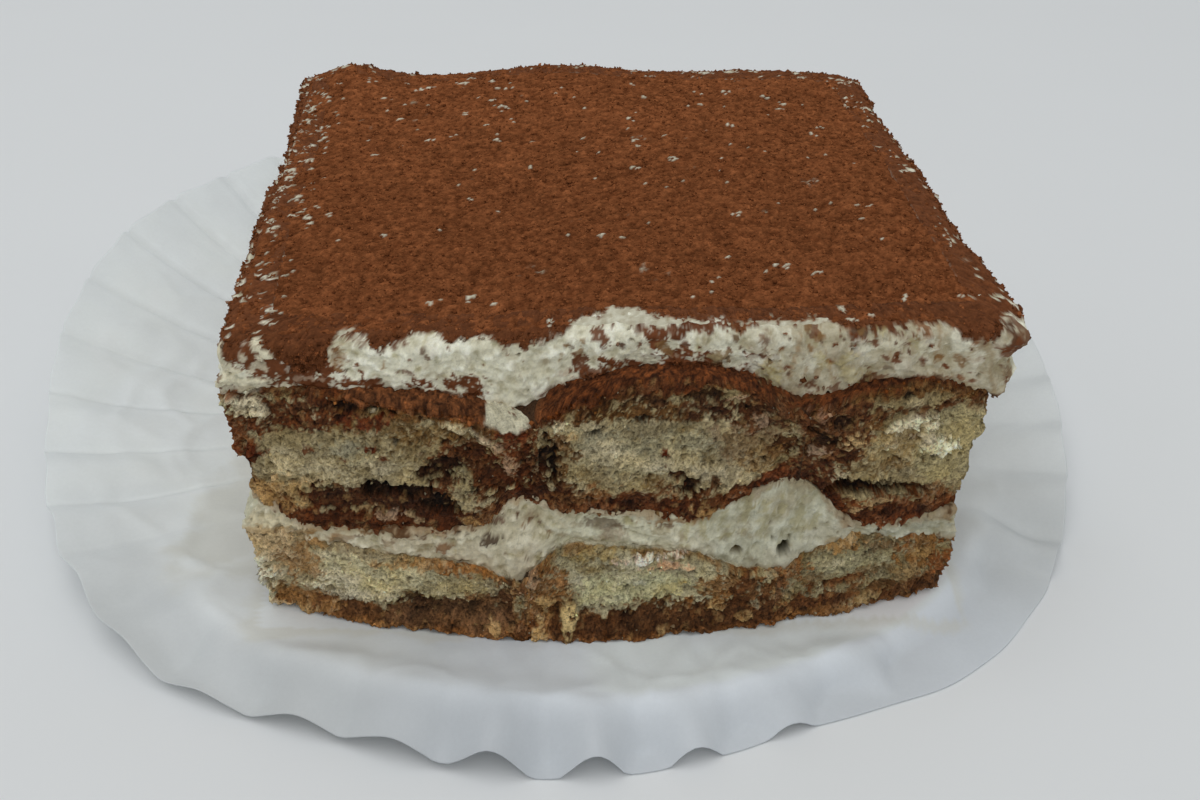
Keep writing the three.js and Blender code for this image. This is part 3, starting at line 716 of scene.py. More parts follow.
        (-21.2, 6.1, 1.3, 0.9, DARK, 0.95, dict(lift=-0.4)), (-11.4, 6.6, 1.7, 2.6, srgb(56, 38, 26, FACE), 0.93, dict(lift=-0.3)), (-17.5, 8.2, 3.6, 1.6, srgb(132, 120, 84, FACE), 0.7),
        (-27.0, 1.8, 5.0, 0.8, srgb(100, 74, 46, FACE), 0.92), (-18.0, 0.9, 6.5, 0.8, srgb(96, 70, 43, FACE), 0.92), (-20.0, 11.0, 5.2, 0.55, srgb(124, 92, 52, FACE), 0.75),
        (-14.2, 10.4, 3.2, 0.8, srgb(94, 65, 36, FACE), 0.88, dict(turn=-12)), (-13.2, 2.9, 0.5, 0.7, GOLD, 0.85, dict(lift=0.3)), (-24.8, 9.3, 1.6, 0.9, GREY, 0.6), (-36.6, 8.2, 1.0, 2.0, CREAM_W, 0.8, dict(lift=0.4)), (-37.3, 5.4, 0.9, 2.6, CREAM_W, 0.9, dict(lift=0.4)), (-35.0, 3.0, 1.4, 0.5, BUFF, 0.8, dict(turn=-20)), (-34.6, 9.4, 1.0, 0.5, BUFF, 0.7, dict(turn=20))),
    "low1": (
        (1.5, 8.0, 6.4, 2.4, srgb(150, 144, 109, FACE), 0.95), (-7.5, 7.0, 2.7, 4.2, srgb(98, 72, 44, FACE), 0.92, dict(wet=0.5)), (-7.8, 6.4, 0.7, 0.6, GOLD, 0.8, dict(lift=0.3)), (-8.4, 2.2, 0.6, 1.2, GOLD, 0.75, dict(lift=0.3)),
        (-5.3, 4.0, 0.95, 1.6, srgb(156, 134, 90, FACE), 1.0, dict(lift=0.5, ragged=0.5)), (-6.7, 3.6, 0.5, 1.5, UMBER, 0.9, dict(lift=-0.3)), (-2.5, 12.4, 3.2, 0.9, srgb(112, 96, 60, FACE), 0.88), (2.6, 11.9, 2.6, 0.5, srgb(190, 166, 145, FACE), 0.92, dict(lift=0.35)),
        (5.0, 10.8, 1.8, 0.5, srgb(166, 128, 98, FACE), 0.75), (-2.6, 10.9, 2.6, 0.5, OLIVE, 0.6), (6.0, 3.7, 8.8, 2.0, srgb(60, 42, 27, FACE), 0.97, dict(turn=2, lift=-0.2, wet=0.6)), (-2.0, 2.6, 2.6, 1.2, UMBER, 0.85, dict(lift=-0.1)),
        (10.0, 4.5, 0.8, 0.9, GOLD, 0.7, dict(lift=0.35)), (13.4, 2.7, 0.7, 0.5, GOLD, 0.65, dict(lift=0.3)), (4.3, 1.7, 0.5, 0.6, GOLD, 0.6, dict(lift=0.3)), (11.0, 7.5, 3.6, 1.8, srgb(98, 72, 42, FACE), 0.88),
        (14.0, 6.4, 2.4, 2.2, srgb(72, 50, 34, FACE), 0.88, dict(lift=-0.15)), (3.0, 0.9, 9.5, 0.6, srgb(98, 70, 43, FACE), 0.9), (0.5, 9.4, 1.6, 0.8, PALE_HI, 0.6), (5.6, 7.6, 1.8, 1.0, srgb(136, 122, 78, FACE), 0.6),
        (2.0, 5.6, 1.2, 0.6, TAN, 0.5), (7.5, 5.6, 0.8, 0.8, TAN, 0.6, dict(lift=0.2)), (-9.6, 9.0, 0.9, 1.6, srgb(150, 118, 92, FACE), 0.6)),
    "low2": (
        (24.5, 8.6, 5.0, 2.0, srgb(136, 131, 104, FACE), 0.95), (21.0, 6.6, 2.4, 0.9, srgb(92, 74, 48, FACE), 0.8), (27.5, 6.9, 2.0, 0.8, srgb(96, 78, 50, FACE), 0.8), (22.5, 9.0, 1.3, 0.8, PALE_HI, 0.7), (17.4, 8.0, 2.2, 2.1, srgb(104, 72, 42, FACE), 0.92), (23.8, 11.5, 1.7, 0.8, srgb(150, 116, 71, FACE), 0.88, dict(lift=0.3)),
        (33.0, 8.2, 3.1, 2.2, srgb(104, 78, 46, FACE), 0.96, dict(turn=-25)), (35.2, 6.8, 1.3, 2.0, srgb(88, 56, 33, FACE), 0.92, dict(lift=0.3)), (32.6, 8.6, 1.2, 0.7, GOLD, 0.7), (17.5, 4.1, 1.4, 0.9, srgb(140, 122, 86, FACE), 0.88, dict(lift=0.4)),
        (27.0, 2.5, 2.6, 0.8, srgb(136, 114, 78, FACE), 0.88, dict(turn=12, lift=0.4)), (31.2, 5.6, 1.6, 1.2, srgb(132, 110, 76, FACE), 0.88, dict(lift=0.5)), (33.0, 4.2, 1.5, 0.9, srgb(88, 62, 40, FACE), 0.85, dict(lift=0.3)),
        (24.0, 5.6, 3.3, 0.8, srgb(72, 46, 28, FACE), 0.95, dict(turn=5, lift=-0.35)), (21.0, 3.1, 2.7, 1.1, srgb(76, 50, 30, FACE), 0.92, dict(lift=-0.2)), (15.9, 5.2, 1.6, 1.8, srgb(78, 56, 42, FACE), 0.85, dict(lift=-0.3)),
        (29.0, 3.9, 1.5, 0.7, UMBER, 0.85, dict(lift=-0.3)), (22.0, 1.4, 5.4, 0.6, srgb(104, 76, 46, FACE), 0.92), (28.5, 10.2, 2.4, 0.7, BROWN, 0.6), (30.4, 10.6, 1.0, 0.6, ORANGE, 0.6), (26.6, 6.8, 1.2, 0.5, BUFF, 0.5)),
}


def sponge(skin, finger, low, seed):
    """Relief, colour and dampness of one ladyfinger's cut faces."""
    c = Canvas(skin, seed)
    P, N, cs, t = skin.P, skin.N, skin.colside, skin.t
    h = np.maximum(skin.zt - skin.zb, 1.0)
    dtop, dbot = (1 - clamp(t)) * h, clamp(t) * h
    front = (cs == 0)
    n5 = fbm(P, 5.0, 3, 0.55, seed)
    relief, lum, pits, threads = crumb(P, seed + 40)
    c.lum = lum
    n2, n1, nf = c.n2, c.n1, c.nf
    q = np.stack([c.u, 0 * c.z + 10 * cs, 0 * c.z], 1)
    soak_t = (0.8 if low else 1.9) + (0.8 if low else 1.2) * fbm(q, 7.0, 3, 0.6, seed + 51)
    soak_b = 2.9 + 1.5 * fbm(q + 31, 8.0, 3, 0.6, seed + 53)
    s_top = smooth((soak_t - dtop) / 1.9 + 0.40 * n2 + 0.30 * n1 + 0.3)
    s_bot = smooth((soak_b - dbot) / 1.7 + 0.45 * n2 + 0.30 * n1 + 0.3)
    fb = (cs == 0) | (cs == 2)
    dlat = np.where(fb, np.minimum(P[:, 0] - skin.x0, skin.x1 - P[:, 0]), 99.0)
    s_lat = smooth((1.5 + 0.8 * n5 - dlat) / 1.3 + 0.5 * n1)
    col = mix(PALE * 1.02, PALE_HI, clamp(0.25 + 0.55 * n5 + 0.25 * n1))
    col = mix(col, OLIVE, smooth(0.30 + 0.6 * fbm(P, 3.2, 3, 0.6, seed + 57)) * 0.55)
    col = mix(col, OLIVE * 0.85, s_top * 0.75)
    col = mix(col, mix(TAN, BROWN, 0.35 + 0.8 * n2) if low else (mix(BROWN, OLIVE, np.full(len(P), 0.65)) if finger == 2 else BROWN), np.maximum(smooth(s_top * 1.5 - 0.75 + 0.3 * n1) * (0.62 if low else 1.0), 0.9 * s_lat))
    col = mix(col, BROWN, smooth(s_bot * 1.4 - 0.15))
    deep = smooth(s_bot * 1.6 - 0.75 + 0.7 * n5 + 0.25 * n1)
    col = mix(col, UMBER, deep)
    rim = smooth((0.55 + 0.4 * n5 - dbot) / 0.4)
    col = mix(col, srgb(98, 70, 44, FACE), rim * 0.75)
    col = mix(col, GOLD, smooth((n1 + 0.5 * nf - 0.9) * 2.2) * np.maximum(s_bot, rim) * 0.6)
    c.col = col * (1 + 0.34 * lum)[:, None]
    c.wet = clamp(0.1 + 0.4 * s_top + 0.5 * s_bot + 0.3 * deep)
    c.D = 0.42 * n5 + 0.26 * n2 + 0.16 * n1 - 0.3 * deep + 0.25 * rim * (0.5 + n1)
    # patches on the faces that the picture doesn't show, of the same kinds
    r = np.random.RandomState(seed + 5)
    for side in (1, 2, 3):
        if (side == 1 and finger != 2) or (side == 3 and finger != 0):
            continue
        i = c.near[side]
        lo, hi = c.u[i].min(), c.u[i].max()
        many = int((hi - lo) * 1.25)
        for _ in range(many):
            u = r.uniform(lo, hi)
            j = i[np.argmin(np.abs(c.u[i] - u) + np.abs(t[i] - 0.5) * 4)]
            zb, zt = skin.zb[j], skin.zt[j]
            f = r.uniform(0.04, 0.96)
            z = lerp(zb, zt, f)
            kind = r.uniform()
            if f < 0.4 and kind < 0.5:
                c.stroke(u, z, r.uniform(1.0, 5.0), r.uniform(0.6, 1.5), (UMBER, DARK, BROWN)[r.randint(3)], 0.9, r.uniform(-12, 12), lift=-0.3, wet=0.6, side=side)
            elif kind < 0.42:
                c.stroke(u, z, r.uniform(1.5, 4.5), r.uniform(0.7, 1.8), (PALE_HI, GREY, PALE)[r.randint(3)], 0.75, r.uniform(-15, 15), side=side)
            elif kind < 0.62:
                c.stroke(u, z, r.uniform(0.8, 3.0), r.uniform(0.5, 1.2), (OLIVE, TAN, BROWN)[r.randint(3)], 0.75, r.uniform(-25, 25), side=side)
            elif kind < 0.78:
                c.stroke(u, z, r.uniform(0.5, 1.5), r.uniform(0.4, 0.9), (GOLD, BUFF, ORANGE)[r.randint(3)], 0.8, r.uniform(-40, 40), lift=0.3, side=side)
            # sunk black patches are holes, painted black as shade
            elif kind < 0.88:
                c.stroke(u, z, r.uniform(0.5, 1.6), r.uniform(0.35, 0.8), BLACK, 0.85, r.uniform(-20, 20), lift=-0.6, side=side)
            elif kind < 0.94:
                c.stroke(u, z, r.uniform(0.5, 1.6), r.uniform(0.3, 0.7), CREAM_W, 0.95, r.uniform(-30, 30), lift=0.45, side=side)
            else:
                c.stroke(u, z, r.uniform(0.3, 0.8), r.uniform(0.3, 0.6), REDDISH, 0.95, lift=0.25, side=side)
    for s in FRONT[("up", "low")[low] + str(finger)]:
        down = 0.8 * smooth((s[1] - 2.0) / 7.0) if low else 0.7 * smooth((21.0 - s[1]) / 5.0)
        c.stroke(s[0], s[1] - down, *s[2:6], **(s[6] if len(s) > 6 else {}))
    # fine grain everywhere: painted highlight on the raised threads and painted shade in the pits, and loose lumps
    # where coffee has soaked in, with painted shade in the cracks between them
    bright = (c.col @ np.array([0.25, 0.65, 0.10])) / FACE
    damp = 1 - smooth((bright - 0.045) / 0.10)
    dry, soaked = (np.array([1.54, 1.46, 1.38]), np.array([1.84, 1.52, 1.12])) if low else (np.array([1.32, 1.20, 1.05]), np.array([1.00, 0.52, 0.24]))
    if low:
        dry = dry * ([1.0, 1.0, 1.03], [1.05, 1.11, 1.18], [0.74, 0.73, 0.68])[finger]
        soaked = soaked * ([1.28, 1.30, 1.24], [0.90, 0.80, 0.66], [0.96, 0.92, 0.86])[finger]
    c.col = c.col * lerp(dry, soaked, damp[:, None])
    w = P + 0.2 * np.stack([n1, nf, n2], 1)
    g1, g2, gid = cells(w, (0.66, 0.66, 0.52), seed + 83)
    edge = smooth((0.26 - (g2 - g1)) / 0.26)
    c.col = c.col * np.exp((0.42 + 0.30 * damp) * lum)[:, None]
    c.col = c.col * (1 + damp * (0.7 * (gid - 0.45) - 0.30 * edge))[:, None]
    c.col = mix(c.col, GOLD * 0.9, damp * smooth((gid - 0.88) / 0.05) * (1 - edge) * 0.5)
    # broad uneven patches, warmer and cooler, and sunk pockets painted near black as shade
    big, warm = fbm(P, (4.6, 4.6, 3.2), 3, 0.6, seed + 91), fbm(P + 17, (3.4, 3.4, 2.2), 3, 0.6, seed + 93)
    c.col = c.col * np.exp(0.24 * big + 0.10 * n1)[:, None] * (1 + clamp(warm, -1, 1)[:, None] * [0.05, 0.0, -0.15])
    k1, k2, kid = cells(P * [1, 1, 1.7] + 0.5 * np.stack([n1, n2, n1], 1), 2.0, seed + 95)
    shaded_pocket = smooth((0.27 - k1 + 0.13 * n1 + 0.06 * nf) / 0.10) * (kid > 0.84 - 0.20 * damp) * (t > 0.05) * (t < 0.97)
    c.col = mix(c.col, BLACK * 1.5, shaded_pocket * 0.8)
    # painted highlight: the threads are lightened in patches
    patchy = smooth(0.45 + 0.9 * fbm(P, 3.0, 2, 0.6, seed + 87))
    c.col = mix(c.col, mix(np.broadcast_to(PALE_HI * 1.34, P.shape), srgb(118, 82, 52, FACE), damp), threads * patchy * (0.30 + 0.04 * damp))
    hidden = ((cs == 3) & (skin.x0 > -30)) | ((cs == 1) & (skin.x1 < 30))
    c.col = mix(c.col, UMBER, hidden * 0.9)
    c.tex = np.ones(len(P))
    c.D = c.D + relief * (1 - 0.2 * damp) + damp * (0.12 * (0.42 - g1) - 0.04 * edge) - 0.5 * shaded_pocket
    jitter = np.stack([fbm(P + 50, 0.8, 2, 0.6, seed + 61), fbm(P + 90, 0.8, 2, 0.6, seed + 67), fbm(P + 130, 0.7, 2, 0.6, seed + 71)], 1)
    return c, jitter


def place(skin, D, jitter, amp=1.0, torn=1.0, toe=0.0, cap=0.0):
    """Moves the skin's points out along their normals by D, and about by jitter, less on faces that nothing shows."""
    P, N, cs = skin.P, skin.N, skin.colside
    x0, x1 = skin.x0, skin.x1
    hidden = ((cs == 3) & (x0 > -30)) | ((cs == 1) & (x1 < 30))
    show = np.where(hidden, 0.0, 1.0)
    # rows far in over the top or underside stay smooth
    inner = np.where(skin.t > 1, smooth((4.5 - (skin.t - 1)) / 2), np.where(skin.t < 0, smooth((3.0 + skin.t) / 2), 1.0))
    k = (show * inner * amp)
    out = P + N * (D * k)[:, None] + 0.12 * jitter * k[:, None]
    # the upper and lower edges are torn
    near_edge = np.maximum(smooth((skin.t - 0.72) / 0.25), smooth((0.28 - skin.t) / 0.25)) * smooth((skin.t + 1.6) / 1.5) * (1 - smooth((skin.t - 1.0) / 1.8))
    out[:, 2] += torn * near_edge * k * (0.50 * fbm(P, 1.5, 2, 0.5, 171) * (1 - 0.5 * smooth((skin.t - 1.0) / 0.3)) + 0.15 * jitter[:, 2] * (skin.t < 1.05))
    # the relief of the whole left and right sides
    li = ramp(P[:, 2], *LEFT_IN) * clamp(-skin.nx) * (x0 < -30)
    ri = ramp(P[:, 2], *RIGHT_IN) * clamp(skin.nx) * (x1 > 30)
    side = np.where(skin.t > 1, 0.0, 1.0) * np.where(skin.t < 0, 0.0, 1.0)
    # insets carry on over the top and underside, so that they don't tear
    up, dn = skin.t > 1, skin.t < 0
    li = np.where(up, ramp(skin.zt, *LEFT_IN) * clamp(-skin.nx) * (x0 < -30), li)
    ri = np.where(up, ramp(skin.zt, *RIGHT_IN) * clamp(skin.nx) * (x1 > 30), ri)
    li = np.where(dn, ramp(skin.zb, *LEFT_IN) * clamp(-skin.nx) * (x0 < -30), li)
    ri = np.where(dn, ramp(skin.zb, *RIGHT_IN) * clamp(skin.nx) * (x1 > 30), ri)
    # the lowest layer's foot was squashed out in front
    out[:, 1] -= toe * (1 + 0.22 * fbm(P * [1, 0, 0.4], 4.6, 3, 0.6, 181) + 0.10 * fbm(P, 1.6, 2, 0.5, 183)) * ramp(P[:, 0], (-38, 0.6), (-32, 1.8), (-22, 3.0), (-8, 3.0), (6, 2.2), (20, 1.2), (34, 0.8)) * smooth((5.0 - P[:, 2]) / 5.0) * clamp(-N[:, 1] + (skin.t < 0.02)) * smooth((-30 - P[:, 1]) / 3)
    out[:, 2] = np.maximum(out[:, 2], paper_dish(out[:, 0] + CX, out[:, 1] + CY) * 0.97 + 0.22)
    corner_out = smooth((-14 - P[:, 1]) / 18) * (0.60 + 0.40 * smooth((P[:, 2] - 28.0) / 6.0)) * cap
    out[:, 0] += corner_out * (2.0 * smooth((P[:, 0] - 30) / 7.5) - 0.9 * smooth((-31 - P[:, 0]) / 6.5))
    out[:, 0] += li * (0.75 + 0.25 * np.sin(P[:, 1] / 6.0)) - ri * (0.75 + 0.25 * np.sin(P[:, 1] / 5.0 + 1))
    return out


pieces = []


def add(ob, slot, *nodes):
    if nodes:
        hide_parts(*nodes)
    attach(ob, "root")
    pieces.append(ob)
    return ob


# ------------------------------------------------------------------------------------------------ materials in use
M_SPONGE = crumb_material()
M_CREAM = food_material("whipped cream", 0.24, 0.08, 0.20, 0.6, sss=0.05, sss_mm=0.35, spec=0.10, wet_rough=0.95, calm=0.50, specks=0.7)
M_COCOA = food_material("cocoa powder", 0.22, 0.12, 0.32, 0.95, spec=0.0, wet_rough=0.9, specks=0.22)

SPOTS = []                    # places on the cut sides where crumbs and grains sit: (points, normals, colours, sides, kind)


def remember(skin, V, col, kind, mask=None):
    """Keeps the points of a skin that can be seen, in the row's frame, for the loose crumbs."""
    hidden = ((skin.colside == 3) & (skin.x0 > -30)) | ((skin.colside == 1) & (skin.x1 < 30))
    i = (skin.t > 0.0) & (skin.t < 1.02) & ~hidden
    if mask is not None:
        i &= mask
    # the whole side's move is in V, so the points lie on the finished surface
    h = np.maximum(skin.zt - skin.zb, 1.0)
    near_edge = 1 + 3.5 * np.exp(-(np.minimum(clamp(skin.t), clamp(1 - skin.t)) * h / 0.6) ** 2)
    SPOTS.append((V[i] + [CX, CY, 0], skin.N[i], col[i], skin.colside[i], kind, near_edge[i]))


# ------------------------------------------------------------------------------------------------ ladyfingers
SEAM_UP, SEAM_LOW = (-8.6, 16.7), (-10.2, 15.6)
LOWER = ((-HW, SEAM_LOW[0] + 1.1), (SEAM_LOW[0] - 1.1, SEAM_LOW[1] + 1.1), (SEAM_LOW[1] - 1.1, HW))
UPPER = ((-HW, SEAM_UP[0] + 0.6), (SEAM_UP[0] - 0.6, SEAM_UP[1] + 1.1), (SEAM_UP[1] - 1.1, HW))
NAMES = ("left", "middle", "right")
HIDE = 2.0
FR, SD, BK = 0.17, 0.38, 0.37
RIM_IN = (0.2, 0.4, 0.6, 0.8, 1.0, 1.2, 1.4, 1.6, 1.8, 2.0, 2.25, 2.5, 2.8, 3.2, 4.0)
for k in range(3):
    steps = (FR, SD if k == 2 else HIDE, BK, SD if k == 0 else HIDE)
    proud = (5.0, 4.9, 4.5)[k]
    sk = Skin(*LOWER[k], proud, steps, z_under, z_low_top, 0.18, 0.45, (0.4, 1.0, 2.0, 4.0), (0.2, 0.4, 0.6, 0.8, 1.0, 1.25, 1.55, 2.0, 3.0), corner=(0.8, 0.3, 0.8)[k])
    c, J = sponge(sk, k, 1, 100 + 90 * k)
    # a little cream sticks to the ledge where the next layer begins
    smeared = smooth((sk.t - 1.50 + 0.30 * c.n1 + 0.25 * c.n2) / 0.30) * (sk.colside == 0)
    c.col = mix(c.col, CREAM_W * (0.80 + 0.16 * c.nf + 0.16 * c.n1)[:, None], smeared * 0.92)
    c.tex = 1 - 0.6 * smeared
    V = place(sk, c.D * (1 - 0.5 * smeared) * (1 - 0.5 * smooth((sk.t - 0.98) / 0.4)), J, toe=1.0)
    remember(sk, V, c.col, "crumb")
    add(sk.finish(f"ladyfinger_low_{NAMES[k]}", V, c.col, {"wet": c.wet, "tex": c.tex}, M_SPONGE), "sponge", f"ladyfinger_lower_{NAMES[k]}")


def ledge_cocoa(x):
    """How much of the ledge in front of the top cream has cocoa on it."""
    return ramp(x, (-38, 0.85), (-36, 0.8), (-34.5, 0.1), (-30, 0.0), (-26.5, 0.25), (-25.2, 0.9), (-22.9, 0.95), (-21.4, 0.72), (-20.0, 0.95), (-18.4, 1.0), (-16.9, 0.78), (-15.6, 0.95), (-13.8, 1.0), (-12.6, 0.0),
                (-9.4, 0.0), (-8.6, 1.0), (8, 1.0), (11, 0.85), (13, 0.7), (14.5, 0.35), (16.2, 0.62), (18, 0.55), (19.5, 0.62), (21, 0.8), (24, 0.9), (29, 0.95), (31.5, 0.9), (33, 0.5), (34.5, 0.15), (36, 0.5), (38, 0.3))


for k in range(3):
    steps = (FR, SD if k == 2 else HIDE, BK, SD if k == 0 else HIDE)
    proud = (3.6, 3.7, 3.4)[k]
    sk = Skin(*UPPER[k], proud, steps, z_up_belly, z_up_top, 0.18, 0.5, (0.4, 1.0, 2.0), RIM_IN, corner=(0.8, 0.3, 0.8)[k])
    c, J = sponge(sk, k, 0, 400 + 90 * k)
    # cocoa that fell on the ledge in front of the cream, with cream below it where it is bare
    P = sk.P
    deep = 0.955 + 0.05 * smooth((P[:, 0] + 3.5) / 3.5) * smooth((14.5 - P[:, 0]) / 2) + 0.03 * smooth((P[:, 0] - 14) / 3)
    ledge = smooth((sk.t - deep + 0.026 * c.n2 + 0.022 * c.n1 + 0.010 * c.nf) / 0.03) * (sk.front + (sk.t > 1)) * (sk.colside == 0)
    much = ledge_cocoa(P[:, 0])
    thin = 1 - smooth((P[:, 0] - 14.5) / 2) * (1 - smooth((P[:, 1] + 35.2 + 0.7 * c.n1 + 0.4 * c.n2) / 0.6))
    co = clamp(ledge * thin * smooth((much - 0.5 + 0.55 * c.nn) / 0.25 + 0.5))
    bare = clamp(ledge - co) * smooth((0.75 - much) / 0.3) * smooth((sk.t - 0.97) / 0.02 + 0.8 * c.n2 + 0.3)
    plunge = smooth((P[:, 0] + 14.2) / 1.2 + 0.6 * c.n1) * smooth((-8.2 - P[:, 0]) / 1.0 + 0.6 * c.n1)
    creamy = clamp(bare * plunge + bare * smooth((-33.5 - P[:, 0]) / 1.5))
    c.col = mix(c.col, CREAM_W * (0.88 + 0.18 * c.nf + 0.20 * c.n1)[:, None], creamy)
    e1, e2, eid = cells(P + 0.15 * c.nf[:, None], 0.6, 967)
    c.col = mix(c.col, REDDISH, creamy * smooth((0.36 - e1) / 0.08) * (eid < 0.30) * 0.9)
    g1, g2, gid = cells(P + 0.2 * np.stack([c.n1, c.nf, c.n2], 1), 0.62, 961)
    # painted shade at the edges between the cocoa grains
    dust = hue(clamp(1.5 * c.nf + 1.0 * c.n1 + 1.2 * fbm(P, (0.9, 0.5, 0.35), 2, 0.6, 969), -1, 1), COCOA_LO * 0.72, BAND * 1.95) * (1 + 0.9 * (gid - 0.5) - 0.40 * smooth((0.2 - (g2 - g1)) / 0.2))[:, None]
    leftwards = smooth((-7 - P[:, 0]) / 2)[:, None]
    dust = dust * lerp(np.array([0.90, 0.79, 0.58]), np.array([1.20, 1.26, 1.16]), leftwards)
    dust = mix(dust, DARK * 0.9, smooth(0.9 * c.n2 + 0.7 * c.n1 - 0.95))
    c.col = mix(c.col, dust, co)
    lying = smooth((sk.t - 0.98) / 0.4)
    c.D = c.D * (1 - clamp(0.45 * co + 0.9 * creamy)) * (1 - 0.6 * lying) + co * (0.16 + (0.22 * c.n1 + 0.16 * c.nf) * (1 - 0.65 * lying) + 0.14 * (0.4 - g1)) + creamy * (0.15 + 0.12 * c.n2 + 0.20 * c.n1 + 0.12 * c.nf)
    c.wet = c.wet * (1 - co)
    c.tex = 1 - 0.20 * co - 0.55 * creamy
    V = place(sk, c.D, J)
    remember(sk, V, c.col, "crumb", co < 0.4)
    remember(sk, V, c.col, "cocoa", co > 0.6)
    add(sk.finish(f"ladyfinger_up_{NAMES[k]}", V, c.col, {"wet": c.wet, "tex": c.tex}, M_SPONGE), "sponge", f"ladyfinger_upper_{NAMES[k]}")


# ------------------------------------------------------------------------------------------------ cream
def cream_canvas(skin, seed, lumps=1.0, bright=1.0):
    c = Canvas(skin, seed)
    P = skin.P
    n5 = fbm(P, 5.5, 4, 0.5, seed)
    n2 = fbm(P, 2.3, 3, 0.5, seed + 7)
    r = 1 - np.abs(fbm(P + 0.4 * c.n1[:, None], 2.4, 2, 0.5, seed + 13)) * 2.2
    d1, d2, did = cells(P + 0.2 * n2[:, None], 1.5, seed + 19)
    shaded_pores = smooth((0.05 + 0.12 * did - d1) / 0.05) * (did > 0.66)
    n9 = fbm(P + 9, 0.9, 2, 0.55, seed + 17)
    c.D = 0.36 * n5 + lumps * (0.13 * r + 0.20 * n2 + 0.14 * n9 + 0.10 * c.n1 + 0.06 * c.nf) - 0.35 * shaded_pores
    c.lum = clamp(0.3 * r + 0.5 * n2 + 0.3 * c.nf - shaded_pores, -1, 1)
    col = mix(CREAM, CREAM_HI * 1.06, clamp(0.55 + 0.5 * n5 + 0.45 * n2 + 0.25 * n9))
    col = mix(col, CREAM_LO, smooth(fbm(P, 1.7, 3, 0.6, seed + 31) * 1.7 - 0.45) * 0.60 * lumps)
    # painted shade: the pores are darkened
    col = mix(col, CREAM_LO * 0.5, shaded_pores * 0.8)
    col = mix(col, srgb(158, 149, 104, FACE), smooth(fbm(P, 1.5, 2, 0.6, seed + 29) * 2.6 - 1.15) * 0.55)
    q1, q2, qid = cells(P + 0.1 * c.nf[:, None], 0.55, seed + 33)
    col = mix(col, srgb(92, 70, 46, FACE), smooth((0.26 - q1) / 0.1) * (qid < 0.035) * 0.8)
    # painted light: the stiff peaks are painted lighter as highlight, and the hollows between them painted darker as
    # shade, and yellow
    form = 0.45 * n2 + 0.45 * n9 + 0.45 * c.n1
    col = mix(col, srgb(128, 119, 84, FACE), smooth((-form - 0.22) / 0.40) * 0.42 * min(1.0, lumps))
    col = mix(col, srgb(211, 210, 195, FACE), smooth((form - 0.06) / 0.40) * 0.66)
    c.col = col * bright * np.exp(0.10 * c.n1 + 0.12 * c.nf)[:, None]
    c.wet[:] = 0.1
    return c, n5, n2, r


sk = Skin(-HW, HW, 3.4, (0.2, SD, BK, SD), lambda x, y: z_low_top(x, y) - 0.5, lambda x, y: z_up_belly(x, y) + 0.5, 0.21, 0.3, (0.6, 1.6, 3.5), (0.6, 1.6, 3.5))
P = sk.P
# bright 0.90 paints the middle cream a tenth darker than the top cream: painted shade for its recess under the upper
# fingers, and a little soaked-in coffee
c, n5, n2, ridge = cream_canvas(sk, 700, 1.1, 0.90)
c.D = c.D + 0.10 * c.n1 + 0.07 * c.nf
hgt = np.maximum(sk.zt - sk.zb, 0.5)
du, dd = (1 - clamp(sk.t)) * hgt, clamp(sk.t) * hgt
stain = smooth((1.1 + 0.8 * c.n2 + 0.4 * c.n1 - du) / 0.8) * 0.75 + smooth((0.8 + 0.6 * c.n2 + 0.3 * c.n1 - dd) / 0.8) * 0.6 + 0.25 * smooth(n5 * 2 - 0.4)
c.col = mix(c.col, STAIN, clamp(stain) * 0.8)
bits = smooth((fbm(P, 0.70, 2, 0.6, 731) - 0.50) * 5) * smooth((1.9 - np.minimum(du, dd * 1.4)) / 1.2)
c.col = mix(c.col, BROWN, bits * 0.85)
